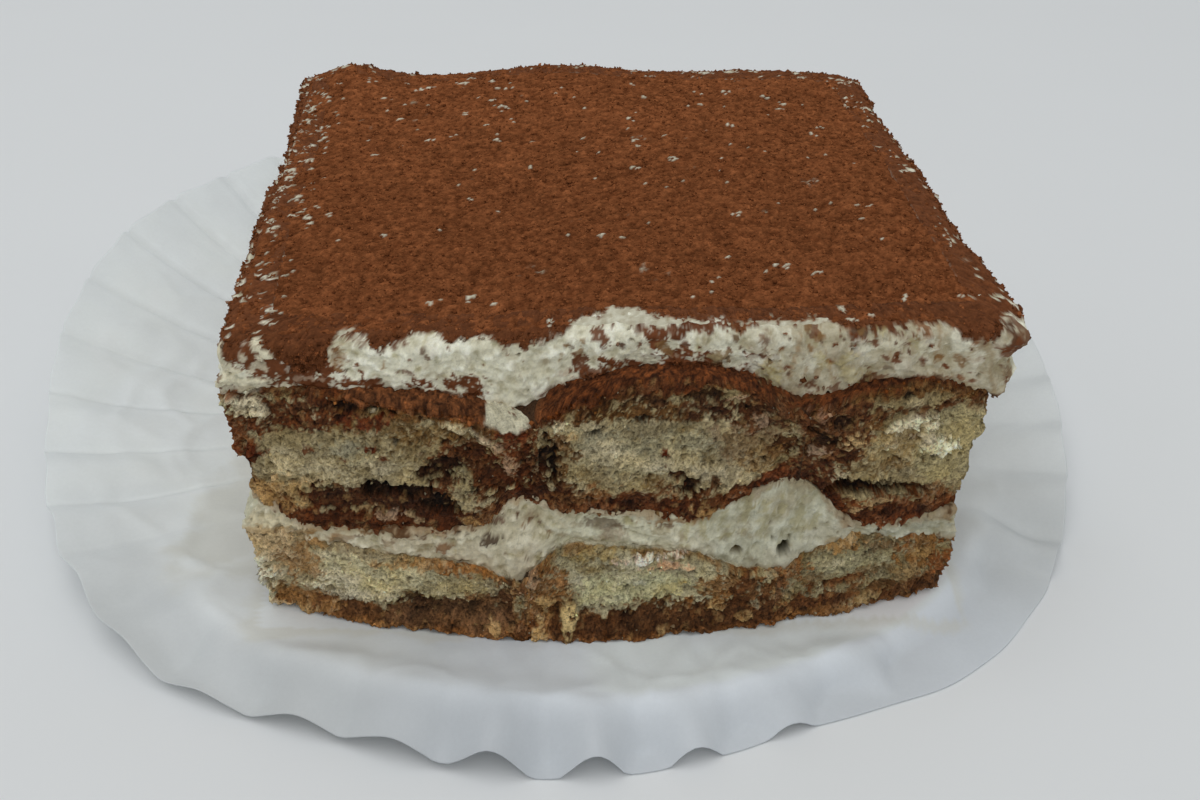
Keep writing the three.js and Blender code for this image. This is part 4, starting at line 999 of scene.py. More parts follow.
# Among these strokes the grey patch at (17.2, 17.9) is painted shade under the upper finger, and the dark sunk patches
# at (-2.2, 15.8), (12.1, 11.4) and (17.2, 11.3) are holes painted dark as shade.
for s in (
        (17.2, 17.9, 2.6, 1.9, srgb(146, 136, 112, FACE), 0.7, dict(ragged=0.9, soft=1.6)), (12.6, 15.2, 0.7, 2.4, CREAM_LO, 0.5, dict(turn=8)), (14.4, 13.5, 2.6, 0.5, CREAM_LO, 0.35), (10.6, 16.6, 0.9, 0.6, CREAM_HI, 0.6),
        (-22.2, 14.7, 1.7, 0.5, BROWN, 0.9, dict(lift=0.2)), (-17.6, 13.1, 1.0, 0.6, ORANGE, 0.85, dict(lift=0.2)), (-13.3, 14.2, 0.8, 0.5, UMBER, 0.9, dict(lift=0.2)), (-9.3, 16.6, 0.9, 0.6, srgb(96, 68, 46, FACE), 0.9),
        (-12.2, 16.3, 0.6, 0.4, srgb(92, 62, 50, FACE), 0.8), (-10.4, 17.2, 0.35, 0.35, BROWN, 0.9), (-11.7, 17.0, 0.4, 0.3, BROWN, 0.9), (-9.0, 17.3, 0.4, 0.35, BROWN, 0.95), (-8.2, 16.1, 0.3, 0.3, BROWN, 0.9), (-12.8, 15.7, 0.35, 0.3, BROWN, 0.9), (-9.9, 15.8, 0.25, 0.25, TAN, 0.9), (-16.2, 14.9, 0.5, 0.3, BROWN, 0.9), (-19.8, 14.3, 0.7, 0.3, BROWN, 0.9), (-25.2, 14.4, 0.8, 0.3, TAN, 0.8), (-7.0, 15.0, 0.3, 0.3, TAN, 0.8), (4.6, 15.4, 0.8, 0.3, BROWN, 0.8), (-0.4, 15.3, 0.5, 0.3, BROWN, 0.9), (-23.6, 13.2, 0.5, 0.9, TAN, 0.5), (-2.2, 15.8, 2.1, 0.9, srgb(108, 96, 80, FACE), 0.85, dict(turn=-10, lift=-0.3)),
        (-1.0, 14.1, 1.9, 0.7, srgb(150, 136, 118, FACE), 0.7), (-5.2, 16.4, 1.2, 0.9, srgb(160, 152, 130, FACE), 0.6), (-8.2, 14.3, 0.5, 0.45, YELLOW, 0.6), (-11.6, 12.3, 0.15, 0.2, BROWN, 0.7), (-9.6, 11.6, 0.2, 0.2, BROWN, 0.7),
        (12.1, 11.4, 0.62, 0.5, srgb(84, 68, 36, FACE), 1.0, dict(lift=-1.3, soft=0.25, ragged=0.7)), (17.2, 11.3, 0.75, 0.6, srgb(52, 48, 34, FACE), 1.0, dict(turn=50, lift=-1.5, soft=0.25, ragged=0.7)),
        (30.5, 11.6, 4.2, 0.8, srgb(150, 149, 136, FACE), 0.55), (-35.4, 15.3, 2.6, 0.7, CREAM_W, 0.9, dict(lift=0.5)), (-33.0, 13.7, 2.6, 0.7, GOLD, 0.6, dict(lift=0.2)), (-36.6, 13.6, 1.2, 0.9, BUFF, 0.8),
        (-28.6, 13.6, 1.3, 0.35, TAN, 0.6), (3.8, 14.9, 1.2, 0.4, CREAM_LO, 0.6), (5.8, 16.0, 2.4, 0.35, TAN, 0.75), (7.8, 14.3, 1.3, 0.5, TAN, 0.25), (1.6, 13.6, 1.4, 0.6, CREAM_HI, 0.5), (-15.4, 14.4, 1.3, 0.5, CREAM_HI, 0.6, dict(lift=0.3)),
        (22.6, 11.9, 0.9, 0.4, BUFF, 0.5), (25.4, 12.9, 2.6, 0.3, srgb(150, 138, 114, FACE), 0.5)):
    c.stroke(s[0], s[1] - 1.0, *s[2:6], **(s[6] if len(s) > 6 else {}))
for s in ((8.6, 13.6, 0.35, 1.3), (10.4, 14.8, 0.45, 1.7), (12.6, 15.9, 0.4, 1.5), (14.6, 14.6, 0.5, 1.9), (16.4, 16.2, 0.5, 1.5), (18.4, 14.2, 0.5, 1.8), (20.2, 13.2, 0.4, 1.2), (6.6, 13.3, 0.5, 0.9)):
    c.stroke(*s, srgb(150, 142, 108, FACE), 0.6, 7 * math.sin(3 * s[0]), lift=-0.18, ragged=1.2)
right = (smooth((P[:, 0] - 6) / 4) * sk.front)[:, None]
left = (smooth((-5 - P[:, 0]) / 4) * sk.front)[:, None]
c.col = c.col * lerp(lerp(np.array([1.04, 1.04, 0.99]), np.array([0.86, 0.86, 0.82]), right), np.array([1.0, 0.94, 0.86]), left)
J = np.stack([fbm(P + 50, 1.5, 2, 0.6, 541), fbm(P + 90, 1.5, 2, 0.6, 547), fbm(P + 130, 1.3, 2, 0.6, 551)], 1)
add(sk.finish("cream_between", place(sk, c.D, J, torn=0.3), c.col, {"wet": c.wet, "tex": 0 * c.wet}, M_CREAM), "cream", "cream_middle")


# ------------------------------------------------------------------------------------------------ cocoa cover
def cocoa_line(x):
    """How far in from the top's front edge the cocoa starts, in mm. Below 0 it hangs down over the edge."""
    return ramp(x, (-38.5, -0.4), (-37, 0.3), (-35.5, -0.8), (-33, -0.4), (-31, -2.5), (-28, -3.0), (-27, -0.5), (-26.3, 1.0), (-24, 1.2), (-23.3, -0.8), (-22, -1.1), (-21, -0.2), (-19.4, 1.1), (-17.7, 1.0), (-17, -0.2),
                (-14.6, 0.0), (-12, 0.2), (-11.3, -1.0), (-10.2, -1.0), (-9, -0.5), (-6.5, -0.6), (-5, 0.9), (-4, 2.2), (-2, 2.4), (-1.5, 3.4), (1.4, 3.5), (2.5, 2.6), (4, 1.6), (6, 1.9), (8, 2.1), (10.5, 1.2), (13, 1.5), (15, 1.8),
                (16.5, 1.4), (18, 1.8), (20, 1.2), (21, 0.2), (24, 0.0), (26, 0.4), (28, 0.7), (30.6, 0.5), (32, -1.0), (34.4, -1.2), (35.2, 1.6), (37, 2.3), (38.5, 2.0))


def front_run(x, y, z):
    """Distance from the top's front edge: back over the top above 0, down the front below 0."""
    return y + HD + 0.9 * (1 - (x / (HW + 1)) ** 2) - (z_top(x, y) - z)


def cocoa_cover(P, front, colside, seed=600):
    """Signed cover: above 0 there is cocoa. The second number is a softer noise for its thickness."""
    x, y, z = P.T
    n = fbm(P, 1.7, 4, 0.62, seed)
    m = fbm(P, 0.55, 3, 0.6, seed + 5)
    top = z_top(x, y)
    depth = top - z
    on_front = np.minimum((front_run(x, y, z) - cocoa_line(x)) / 0.55 + 1.7 * n + 1.0 * m, 3.0)
    edge_other = 1.6 + 0.8 * fbm(P * [1, 1, 0], 6.0, 3, 0.6, seed + 9)
    on_other = (edge_other - depth) / 0.7 + 1.1 * n + 0.5 * m
    wall = np.where(front > 0.35, on_front, on_other)
    # small bare specks, more of them towards the edges
    away = np.minimum(np.minimum(x + HW, HW - x), np.minimum(y + HD + 1, HD + 1 - y))
    left, right, rear = smooth((10 - (x + HW)) / 9), smooth((5 - (HW - x)) / 5), smooth((6 - (HD + 1 - y)) / 6)
    near_front = smooth((7 - (y + HD)) / 7)
    c1, c2, cid = cells(P + 0.6 * np.stack([n, m, n], 1), (1.9, 1.8, 1.9), seed + 15)
    dens = 0.12 + 0.55 * left + 0.46 * right + 0.52 * rear * (0.6 + 0.4 * (x > 0)) + 0.08 * near_front + 0.10 * smooth((y - 5) / 20) * smooth((x - 5) / 20)
    specks = smooth((0.15 + 0.32 * np.minimum(dens, 0.7) * (0.3 + cid / dens) - c1 + 0.30 * m + 0.12 * n) / 0.06) * (cid < dens)
    e1, e2, eid = cells(P + 3 + 0.2 * np.stack([m, n, m], 1), (0.95, 0.75, 0.95), seed + 19)
    tiny = smooth((0.16 + 0.18 * dens - e1 + 0.08 * m) / 0.06) * (eid < 0.05 + 0.5 * dens * dens + 0.22 * np.maximum(left, np.maximum(right, rear)) ** 2)
    bare = np.maximum(specks, tiny)
    cover = np.where(depth < 1.1, np.minimum(wall, on_front), wall)
    return cover - 6 * bare * (depth < 2.5), n, m


# ------------------------------------------------------------------------------------------------ top cream
sk = Skin(-HW, HW, 0.9, (FR, 0.33, 0.34, 0.33), lambda x, y: z_up_top(x, y) - 0.6, lambda x, y: z_top(x, y) - 0.05, 0.17, 0.4,
          (0.6, 1.6, 3.5), (0.2, 0.4, 0.6, 0.8, 1.0, 1.3, 1.6, 2.0, 2.4, 3.0), top_edge=1.0, corner=1.3, sink=1.6)
P, N = sk.P, sk.N
c, n5, n2, ridge = cream_canvas(sk, 900, 1.15)
x, z = P[:, 0], P[:, 2]
F = sk.front * (sk.colside == 0)
cover, cn, cm = cocoa_cover(P, sk.front, sk.colside)
# long drag marks of the knife, coffee stains and a yellow cast
w = P + np.stack([0.35 * (z - 32), 0 * z, 0 * z], 1) * F[:, None]
drag = fbm(w, (0.75, 0.75, 5.0), 3, 0.6, 841)
right = smooth((x - 9) / 8) * F
stain = smooth((drag - 0.25) * 2.4) * (0.66 * right + 0.12) + 0.35 * smooth(n5 * 1.6 - 0.4) + 0.55 * smooth((sk.zb + 1.5 - z) / 1.2 + 0.5 * c.n2)
c.col = mix(c.col, STAIN, clamp(stain) * 0.72)
c.col = mix(c.col, CREAM_LO * [1.0, 0.96, 0.90], right * 0.50)
c.col = mix(c.col, STAIN * 0.9, smooth(fbm(w, (1.1, 1.1, 2.6), 3, 0.6, 843) * 1.6 - 0.25) * (0.24 * right + 0.06) * F)
c.D = c.D + 0.10 * drag * right
c.col = c.col * (1 + 0.08 * smooth((3 - x) / 6) * F)[:, None]
# cocoa smeared over the cream at the front left, with cream showing through
for s in (
        (-31.6, 33.8, 5.4, 3.0, REDDISH, 1.0), (-34.8, 35.4, 2.2, 1.8, REDDISH, 1.0), (-29.0, 32.2, 3.2, 1.5, REDDISH, 1.0), (-37.2, 30.3, 1.2, 0.6, REDDISH, 0.9),
        (-32.9, 34.4, 1.0, 0.8, CREAM_W, 1.0, dict(lift=0.3, ragged=0.5)), (-30.4, 34.0, 0.6, 0.8, ROSE, 0.9), (-36.8, 32.6, 0.6, 2.2, CREAM_W, 0.9, dict(lift=0.3)), (-35.7, 31.9, 1.2, 0.9, CREAM_W, 0.95),
        (-28.4, 31.0, 3.9, 1.5, REDDISH, 1.0), (-35.2, 31.0, 1.9, 0.42, CREAM_W, 0.95, dict(lift=0.3)), (-28.9, 31.2, 1.7, 0.25, ROSE, 0.6), (-33.5, 32.5, 0.7, 0.4, CREAM_W, 0.6), (-27.4, 34.2, 0.4, 1.4, CREAM_W, 0.8, dict(turn=15)),
        (-34.6, 33.3, 0.3, 0.6, CREAM_W, 0.6), (-26.2, 33.2, 0.7, 1.3, STAIN, 0.6), (-37.4, 31.6, 0.5, 0.5, REDDISH, 0.7),
        (-21.6, 35.0, 1.3, 0.35, REDDISH, 0.95), (-19.2, 35.9, 1.0, 0.25, REDDISH, 0.9), (-18.3, 33.4, 0.3, 0.4, BROWN, 0.85), (-18.6, 34.1, 0.2, 0.25, BROWN, 0.8), (-19.8, 33.3, 0.25, 0.25, REDDISH, 0.8),
        (-20.6, 31.8, 0.7, 0.3, REDDISH, 0.75), (-22.4, 32.6, 0.25, 0.6, STAIN, 0.8), (-17.5, 33.0, 0.3, 0.9, YELLOW, 0.6), (-24.3, 34.6, 0.4, 0.3, REDDISH, 0.6), (-25.2, 35.4, 0.4, 0.5, REDDISH, 0.7),
        (-11.1, 33.9, 0.35, 0.45, REDDISH, 0.85), (-10.2, 34.8, 0.8, 0.3, STAIN, 0.7), (-8.0, 35.2, 1.8, 0.45, srgb(122, 112, 96, FACE), 0.65), (-8.4, 33.9, 0.8, 0.4, YELLOW, 0.45), (-6.0, 32.9, 0.2, 0.7, STAIN, 0.7),
        (-4.3, 33.7, 0.35, 0.9, TAN, 0.8, dict(turn=-20)), (-4.2, 32.2, 0.6, 1.0, REDDISH, 0.95), (-5.4, 31.4, 0.8, 0.4, ROSE, 0.5), (-2.6, 35.3, 0.8, 0.6, REDDISH, 0.95, dict(turn=-25)), (-1.9, 37.1, 0.4, 0.5, REDDISH, 0.8),
        (0.2, 36.9, 0.5, 0.3, REDDISH, 0.8), (1.2, 34.4, 0.3, 0.4, REDDISH, 0.9), (1.5, 35.7, 0.5, 0.3, REDDISH, 0.7), (2.4, 35.5, 0.5, 0.5, REDDISH, 0.95), (3.0, 34.4, 0.9, 0.8, REDDISH, 1.0), (3.2, 36.7, 0.4, 0.35, REDDISH, 0.9),
        (4.6, 35.4, 0.6, 0.5, REDDISH, 0.95), (5.5, 36.0, 0.3, 0.5, REDDISH, 0.95), (5.6, 34.3, 0.3, 0.6, REDDISH, 0.9), (7.8, 35.6, 1.2, 0.45, REDDISH, 0.95), (8.9, 36.6, 0.8, 0.5, REDDISH, 0.95), (10.2, 35.9, 0.7, 0.7, REDDISH, 0.95),
        (11.3, 35.3, 0.4, 0.3, REDDISH, 0.9), (11.8, 36.6, 0.7, 0.3, REDDISH, 0.8), (13.2, 34.2, 0.4, 1.1, REDDISH, 0.7), (13.6, 32.8, 0.2, 1.2, TAN, 0.6), (9.7, 33.6, 0.3, 0.5, REDDISH, 0.85), (12.0, 32.8, 0.6, 0.35, REDDISH, 0.9),
        (5.0, 32.0, 5.2, 1.0, REDDISH, 1.0), (8.0, 32.9, 2.2, 0.9, REDDISH, 1.0), (1.0, 32.2, 2.6, 0.8, REDDISH, 1.0), (11.6, 31.4, 1.8, 0.7, REDDISH, 1.0), (-2.8, 31.4, 2.4, 0.5, REDDISH, 0.9),
        (-23.6, 30.4, 1.4, 0.6, REDDISH, 1.0), (-19.0, 30.5, 1.5, 0.7, REDDISH, 1.0), (-14.4, 30.4, 2.0, 0.8, REDDISH, 1.0), (16.2, 32.5, 0.25, 2.0, STAIN, 0.6, dict(turn=-8)), (17.6, 32.4, 0.2, 2.2, TAN, 0.5, dict(turn=-8)),
        (16.0, 32.6, 0.5, 0.3, REDDISH, 0.6), (18.6, 31.6, 0.25, 1.8, STAIN, 0.5), (20.4, 34.4, 0.3, 0.5, REDDISH, 0.85), (22.0, 34.2, 1.2, 0.4, REDDISH, 0.9, dict(turn=-15)), (23.5, 35.0, 0.45, 0.6, REDDISH, 0.95), (21.4, 33.6, 0.6, 0.3, ROSE, 0.6),
        (26.0, 34.4, 0.8, 0.35, REDDISH, 0.8, dict(turn=-30)), (27.0, 33.4, 0.5, 0.3, REDDISH, 0.8), (26.2, 32.0, 0.45, 0.5, REDDISH, 0.95), (28.6, 33.5, 1.0, 0.25, REDDISH, 0.8, dict(turn=-35)), (25.4, 33.6, 1.2, 0.8, CREAM_W, 0.6),
        (25.5, 30.9, 0.4, 0.35, BROWN, 0.6), (23.4, 31.0, 0.2, 0.2, BROWN, 0.7), (29.0, 31.6, 0.2, 0.2, BROWN, 0.7), (32.8, 34.2, 0.6, 0.35, REDDISH, 0.85), (35.6, 32.7, 1.0, 0.65, REDDISH, 1.0, dict(lift=0.2)),
        (33.6, 35.0, 1.0, 0.9, REDDISH, 1.0), (28.6, 36.2, 1.4, 0.6, srgb(122, 114, 96, FACE), 0.6), (31.0, 36.0, 1.4, 0.5, srgb(140, 134, 116, FACE), 0.5), (33.3, 33.2, 0.6, 1.0, TAN, 0.5), (32.8, 31.2, 0.4, 0.8, TAN, 0.4), (30.0, 33.6, 0.2, 1.8, STAIN, 0.5),
        (17.6, 29.0, 1.4, 0.5, REDDISH, 0.9), (20.5, 28.9, 0.6, 0.7, REDDISH, 0.8), (24.6, 29.2, 2.2, 0.5, REDDISH, 0.8), (30.6, 29.4, 2.4, 0.4, REDDISH, 0.8), (36.6, 29.6, 0.5, 0.9, REDDISH, 0.9), (37.4, 28.6, 0.8, 0.4, REDDISH, 0.8)):
    c.stroke(*s[:6], **(s[6] if len(s) > 6 else {}))
q = np.random.RandomState(877)
for _ in range(330):
    u = q.uniform(-27, 37.8)
    if q.uniform() < (0.88 if u < -5 else 0.60 if u < 7 else 0.0):
        continue
    v = 35.7 + float(cocoa_line(np.array([u]))[0]) * 0.6 - 6.6 * q.uniform() ** (2.7 if u > 7 else 1.5)
    shade = (REDDISH, REDDISH, REDDISH, REDDISH * 0.7, TAN, srgb(74, 46, 28, FACE), srgb(112, 70, 38, FACE))[q.randint(7)]
    ru = min(1.3, q.lognormal(math.log(0.27), 0.55)) * (1.15 if u > 7 else 0.8)
    c.stroke(u, v, ru, ru * q.uniform(0.35, 0.9), shade, q.uniform(0.8, 1.0), q.uniform(-80, 25), soft=0.2, ragged=0.6)
for _ in range(110):
    u = q.uniform(3, 37.5)
    v = 36.3 + 0.8 * float(cocoa_line(np.array([u]))[0]) - abs(q.normal(0, 0.9))
    ru = min(1.0, q.lognormal(math.log(0.33), 0.5))
    c.stroke(u, v, ru, ru * q.uniform(0.4, 1.0), (REDDISH, REDDISH, REDDISH * 0.75)[q.randint(3)], 1.0, q.uniform(-80, 60), soft=0.15, ragged=0.7)
for _ in range(26):
    u, v = q.uniform(8, 37.0), q.uniform(29.5, 35.0)
    c.stroke(u, v, q.uniform(0.5, 1.7), q.uniform(0.3, 0.9), (CREAM_HI * 1.05, CREAM_LO * 0.85, srgb(150, 138, 96, FACE))[q.randint(3)], 0.5, q.uniform(-80, -20), lift=q.uniform(-0.2, 0.3))
# flecks of cocoa on the cream, thicker towards its top edge
c1, c2, cid = cells(P + 0.35 * np.stack([cn, cm, cn], 1), (1.3, 1.3, 1.0), 811)
edge_d = front_run(x, P[:, 1], z) - cocoa_line(x)
front_d = sk.front > 0.35
dens = 0.02 + 0.12 * smooth((x - 1) / 5) + (0.13 + 0.22 * smooth((x + 2) / 5)) * smooth((edge_d + 2.2) / 2.0) + 0.14 * smooth((x - 5) / 6) * smooth((24 - x) / 5)
dens = np.where(front_d, dens, 0.10 + 0.30 * smooth((z - 33.4) / 3))
fleck = smooth((0.14 + 0.28 * cid / np.maximum(dens, 0.05) * 0.5 - c1 + 0.12 * cm) / 0.07) * (cid < dens)
f1, f2, fid = cells(P + 9, 0.62, 823)
fine = smooth((0.30 - f1) / 0.1) * (fid < 0.012 + 0.20 * dens)
foot = smooth((sk.zb + 1.3 - 0.6 * smooth((x - 14) / 3) + 0.6 * c.n2 - z) / 0.5) * smooth((n5 + 0.9 * c.n1 + 0.1) / 0.5) * (sk.t < 1) * np.where(sk.colside == 0, ledge_cocoa(x) > 0.4, 1)
co = np.maximum.reduce([smooth(cover * 1.2), fleck, fine * 0.9, foot * 0.9])
k1, k2, kid = cells(P + 0.15 * np.stack([cm, cn, cm], 1), 0.62, 829)
# painted shade between the cocoa grains, darker away from each grain's middle
cocoa = hue(0.8 * cm + 0.5 * c.nf, COCOA_LO, COCOA_HI) * (1 - 0.35 * smooth((k1 - 0.42) / 0.25))[:, None]
cocoa = mix(cocoa, COCOA, 0.30 + 0 * cm) * lerp(1.0, 0.86, F)[:, None]
c.col = mix(c.col, cocoa, co)
calm = smooth((N[:, 2] - 0.5) / 0.5)
c.D = c.D * (1 - 0.6 * calm) + co * (0.12 + 0.16 * cm + 0.20 * (0.45 - k1) + 0.08 * c.nf)
c.D = c.D + 0.6 * np.exp(-((x - 36.5) / 2.5) ** 2) * smooth((z - 32) / 3) * F
J = np.stack([fbm(P + 50, 1.3, 2, 0.6, 851), fbm(P + 90, 1.3, 2, 0.6, 857), fbm(P + 130, 1.1, 2, 0.6, 861)], 1)
V = place(sk, c.D, J, cap=1.0, torn=0.3)
remember(sk, V, c.col, "cocoa", co > 0.6)
add(sk.finish("cream_cap", V, c.col, {"wet": 0.1 + 0.9 * co, "tex": co}, M_CREAM, chart=(0.4, 0.18, 0.2, 0.18)), "cream", "cream_top")


# ------------------------------------------------------------------------------------------------ cocoa on the top
def cocoa_sheet():
    step = 0.29 * FINE
    inset = 1.15
    nx, ny = int((2 * HW - 2 * inset) / step), int((2 * HD + 1.6 - 2 * inset) / step)
    gx = np.linspace(-HW + inset, HW - inset, nx + 1)
    u, v = np.meshgrid(gx, np.linspace(0, 1, ny + 1), indexing="ij")
    yf = -HD - 0.9 * (1 - (u / (HW + 1)) ** 2) + inset
    yb = HD + 0.54 * (1 - (u / (HW + 1)) ** 2) - inset
    y = lerp(yf, yb, v)
    x = u.ravel()
    y = y.ravel()
    n = len(x)
    P = np.stack([x, y, z_top(x, y)], 1)
    cover, cn, cm = cocoa_cover(P, np.zeros(n), None)
    n6 = fbm(P, 6.0, 4, 0.5, 901)
    n1 = fbm(P, 1.2, 4, 0.62, 907)
    g1, g2, gid = cells(P, (0.62, 0.55, 0.62), 911)
    grain = 0.5 - g1
    k1, k2, kid = cells(P + 2 + 0.3 * n1[:, None], (1.5, 1.4, 1.5), 917)
    n3 = fbm(P, 2.6, 3, 0.6, 919)
    clump = smooth((0.42 - k1) / 0.3) * (kid > 0.55)
    co = smooth(cover * 1.2)
    D = 0.16 * n6 + 0.16 * n1 + (0.20 + 0.14 * smooth((-4 - y) / 20)) * grain + 0.14 * clump
    bare = 1 - co
    D = D * (0.4 + 0.6 * co) + bare * (0.10 + 0.10 * n1)
    # its own edge goes down into the cream below
    e = np.minimum(np.minimum(x + HW - inset, HW - inset - x), np.minimum(y - yf.ravel(), yb.ravel() - y))
    dip = smooth((0.32 - e) / 0.32)
    fade = smooth(e / 1.3)
    z = P[:, 2] + 0.02 + D * fade + 0.08 * (1 - fade) - 0.6 * dip
    col = hue(1.0 * n1 + 0.9 * cm, COCOA_LO, COCOA_HI)
    col = mix(col, COCOA, np.full(n, 0.34))
    # painted shade between the grains, and the raised clumps painted lighter
    col = col * (1 + 0.12 * n6 + 0.10 * n3 - 0.30 * smooth((g1 - 0.42) / 0.25) * (gid > 0.4) + 0.20 * clump)[:, None]
    col = col * (1.12 + 0.20 * smooth((y + 20) / 50))[:, None]
    damp = smooth((0.16 - k1) / 0.08) * (kid < 0.012)
    col = mix(col, COCOA_LO * 0.45, damp)
    cream = mix(CREAM_LO * 0.95, CREAM_HI * 1.02, 0.6 + 0.5 * cm)
    col = mix(col, cream, bare)
    # underside and edge close the sheet
    top = np.stack([x, y, z], 1)
    V = top
    grid = np.arange(n).reshape(nx + 1, ny + 1)
    quads = np.stack([grid[:-1, :-1], grid[1:, :-1], grid[1:, 1:], grid[:-1, 1:]], -1).reshape(-1, 4)
    a, b = np.meshgrid(np.arange(nx), np.arange(ny), indexing="ij")
    a, b = a.ravel(), b.ravel()
    m = 0.03
    uu = lambda i: m + i / nx * (1 - 2 * m)
    vv = lambda j: m + j / ny * (1 - 2 * m)
    uvq = np.stack([np.stack([uu(a), vv(b)], 1), np.stack([uu(a + 1), vv(b)], 1), np.stack([uu(a + 1), vv(b + 1)], 1), np.stack([uu(a), vv(b + 1)], 1)], 1)
    ring = np.concatenate([grid[:, 0], grid[-1, 1:], grid[-2::-1, -1], grid[0, -2:0:-1]])
    R = len(ring)
    low = top[ring] - [0, 0, 0.8]
    base = n + np.arange(R)
    nxt = np.roll(np.arange(R), -1)
    skirt = np.stack([base, n + nxt, ring[nxt], ring], 1)
    uvs = np.zeros((R, 4, 2))
    uvs[:, :, 0] = np.stack([np.arange(R), np.arange(R) + 1, np.arange(R) + 1, np.arange(R)], 1) / R * 0.96 + 0.02
    uvs[:, :, 1] = [0.004, 0.004, 0.014, 0.014]
    centre = n + R
    low_c = np.array([[0, 0, low[:, 2].mean()]])
    tris = np.stack([np.full(R, centre), n + nxt, base], 1)
    Q = np.concatenate([low, low_c])[:, :2]
    q = (Q + 40) / 80 * 0.012
    uvt = q[np.stack([np.full(R, R), nxt, np.arange(R)], 1)] + [0.02, 0.985]
    V = np.concatenate([top, low, low_c]) + [CX, CY, 0]
    colV = np.concatenate([col, col[ring], col[:1]])
    wet = np.concatenate([0.15 + 0.6 * bare, np.full(R + 1, 0.15)])
    ob = write_mesh("cocoa_cover", V, np.concatenate([quads, skirt]), tris, colV, np.concatenate([uvq, uvs]), uvt, {"wet": wet, "tex": 1 - 0.8 * np.concatenate([bare, np.zeros(R + 1)])}, M_COCOA)
    return ob, top, cover


cocoa_ob, cocoa_top, cocoa_cov = cocoa_sheet()
add(cocoa_ob, "cocoa")


# ------------------------------------------------------------------------------------------------ paper case
def wrap(a, centre):
    """Angle a less centre, in degrees, between -180 and 180."""
    return (a - centre + 180.0) % 360.0 - 180.0


def pleats(x, y):
    """(phase of the pleats, front share, left share, right share) for the paper's wall."""
    a = np.degrees(np.arctan2(y, x))
    turn = 0.5 * smooth((a + 112) / 12) + 2.0 * smooth((a + 76) / 16) * smooth((-20 - a) / 20)
    phase = np.radians(40.0 * (a + 85.5 - turn) + 5 * np.sin(np.radians(3 * a + 20)) + 4 * np.sin(np.radians(7 * a)))
    return phase, smooth((62 - np.abs(wrap(a, -84))) / 22), smooth((64 - np.abs(wrap(a, 172))) / 14), smooth((45 - np.abs(wrap(a, 5))) / 20)


def paper_height(x, y):
    """Height of the paper's upper face, in the row's frame."""
    r, a = np.hypot(x, y), np.degrees(np.arctan2(y, x))
    dx = np.maximum(np.maximum(CX - HW - x, 0), x - CX - HW)
    dy = np.maximum(np.maximum(CY - HD - 5.2 - y, 0), y - (CY + HD + 3.5))
    out = np.hypot(dx, dy)
    phase, front, left, right = pleats(x, y)
    P = np.stack([x, y, 0 * x], 1)
    s = -np.cos(phase)
    uneven = 1 + 0.30 * fbm(np.stack([9 * np.cos(np.radians(a)), 9 * np.sin(np.radians(a)), 0 * a], 1), 2.2, 2, 0.6, 951)
    start = lerp(51.0, 55.5, front) - 4 * left
    grow = smooth((r - start) / lerp(12.0, 7.5, front)) * smooth((out - 1.5) / 5.0)
    amp = 1.0 + 0.9 * front - 0.25 * left - 0.35 * right
    amp = amp * (1 - 0.62 * smooth((32 - np.abs(wrap(a, -126))) / 16))
    amp = np.where(wrap(a, 150) > -40, lerp(amp, 0.30, smooth((32 - np.abs(wrap(a, 158))) / 14)), amp)
    z = paper_dish(x, y) + amp * grow * s * uneven
    # pleats that were pulled flat leave a narrow crease each, sharp at the back left
    far = 1 - smooth((phase / (2 * np.pi) - np.round(phase / (2 * np.pi))) ** 2 / 0.0085)
    crease = smooth((52 - np.abs(wrap(a, 164))) / 16) * smooth((r - 37) / 14) * smooth((out - 0.5) / 3)
    z = z - 0.65 * far * crease
    fold = 1 - smooth((phase / (2 * np.pi) - np.round(phase / (2 * np.pi))) ** 2 / 0.02)
    z = z - 0.22 * fold * smooth((r - 40) / 10) * smooth((out - 0.5) / 4) * (1 - crease)
    # the flat part has been crumpled and smoothed out again
    c1, c2, cid = cells(P + 1.2 * np.stack([fbm(P, 9, 2, 0.5, 963), fbm(P + 40, 9, 2, 0.5, 965), 0 * x], 1), 9.0, 967)
    facet = smooth((0.16 - (c2 - c1)) / 0.16)
    z = z + smooth((out - 0.5) / 3) * (0.18 * facet + 0.28 * (cid - 0.5) * smooth((c2 - c1) / 0.3)) * smooth((68 - r) / 14)
    z = z + fbm(P, 15.0, 3, 0.5, 955) * 0.32 * smooth((out - 1) / 8) + 0.07 * fbm(P, 4.0, 2, 0.5, 957) * smooth((out - 0.5) / 3)
    # the front lip droops past a soft ridge
    ridge = np.exp(-((r - 56.5) / 3.2) ** 2) * front * smooth((out - 1) / 4)
    z = z + 1.0 * ridge - 4.3 * front * smooth((r - 56.5) / 7.5)
    return np.maximum(z, 0.10) + 0.12


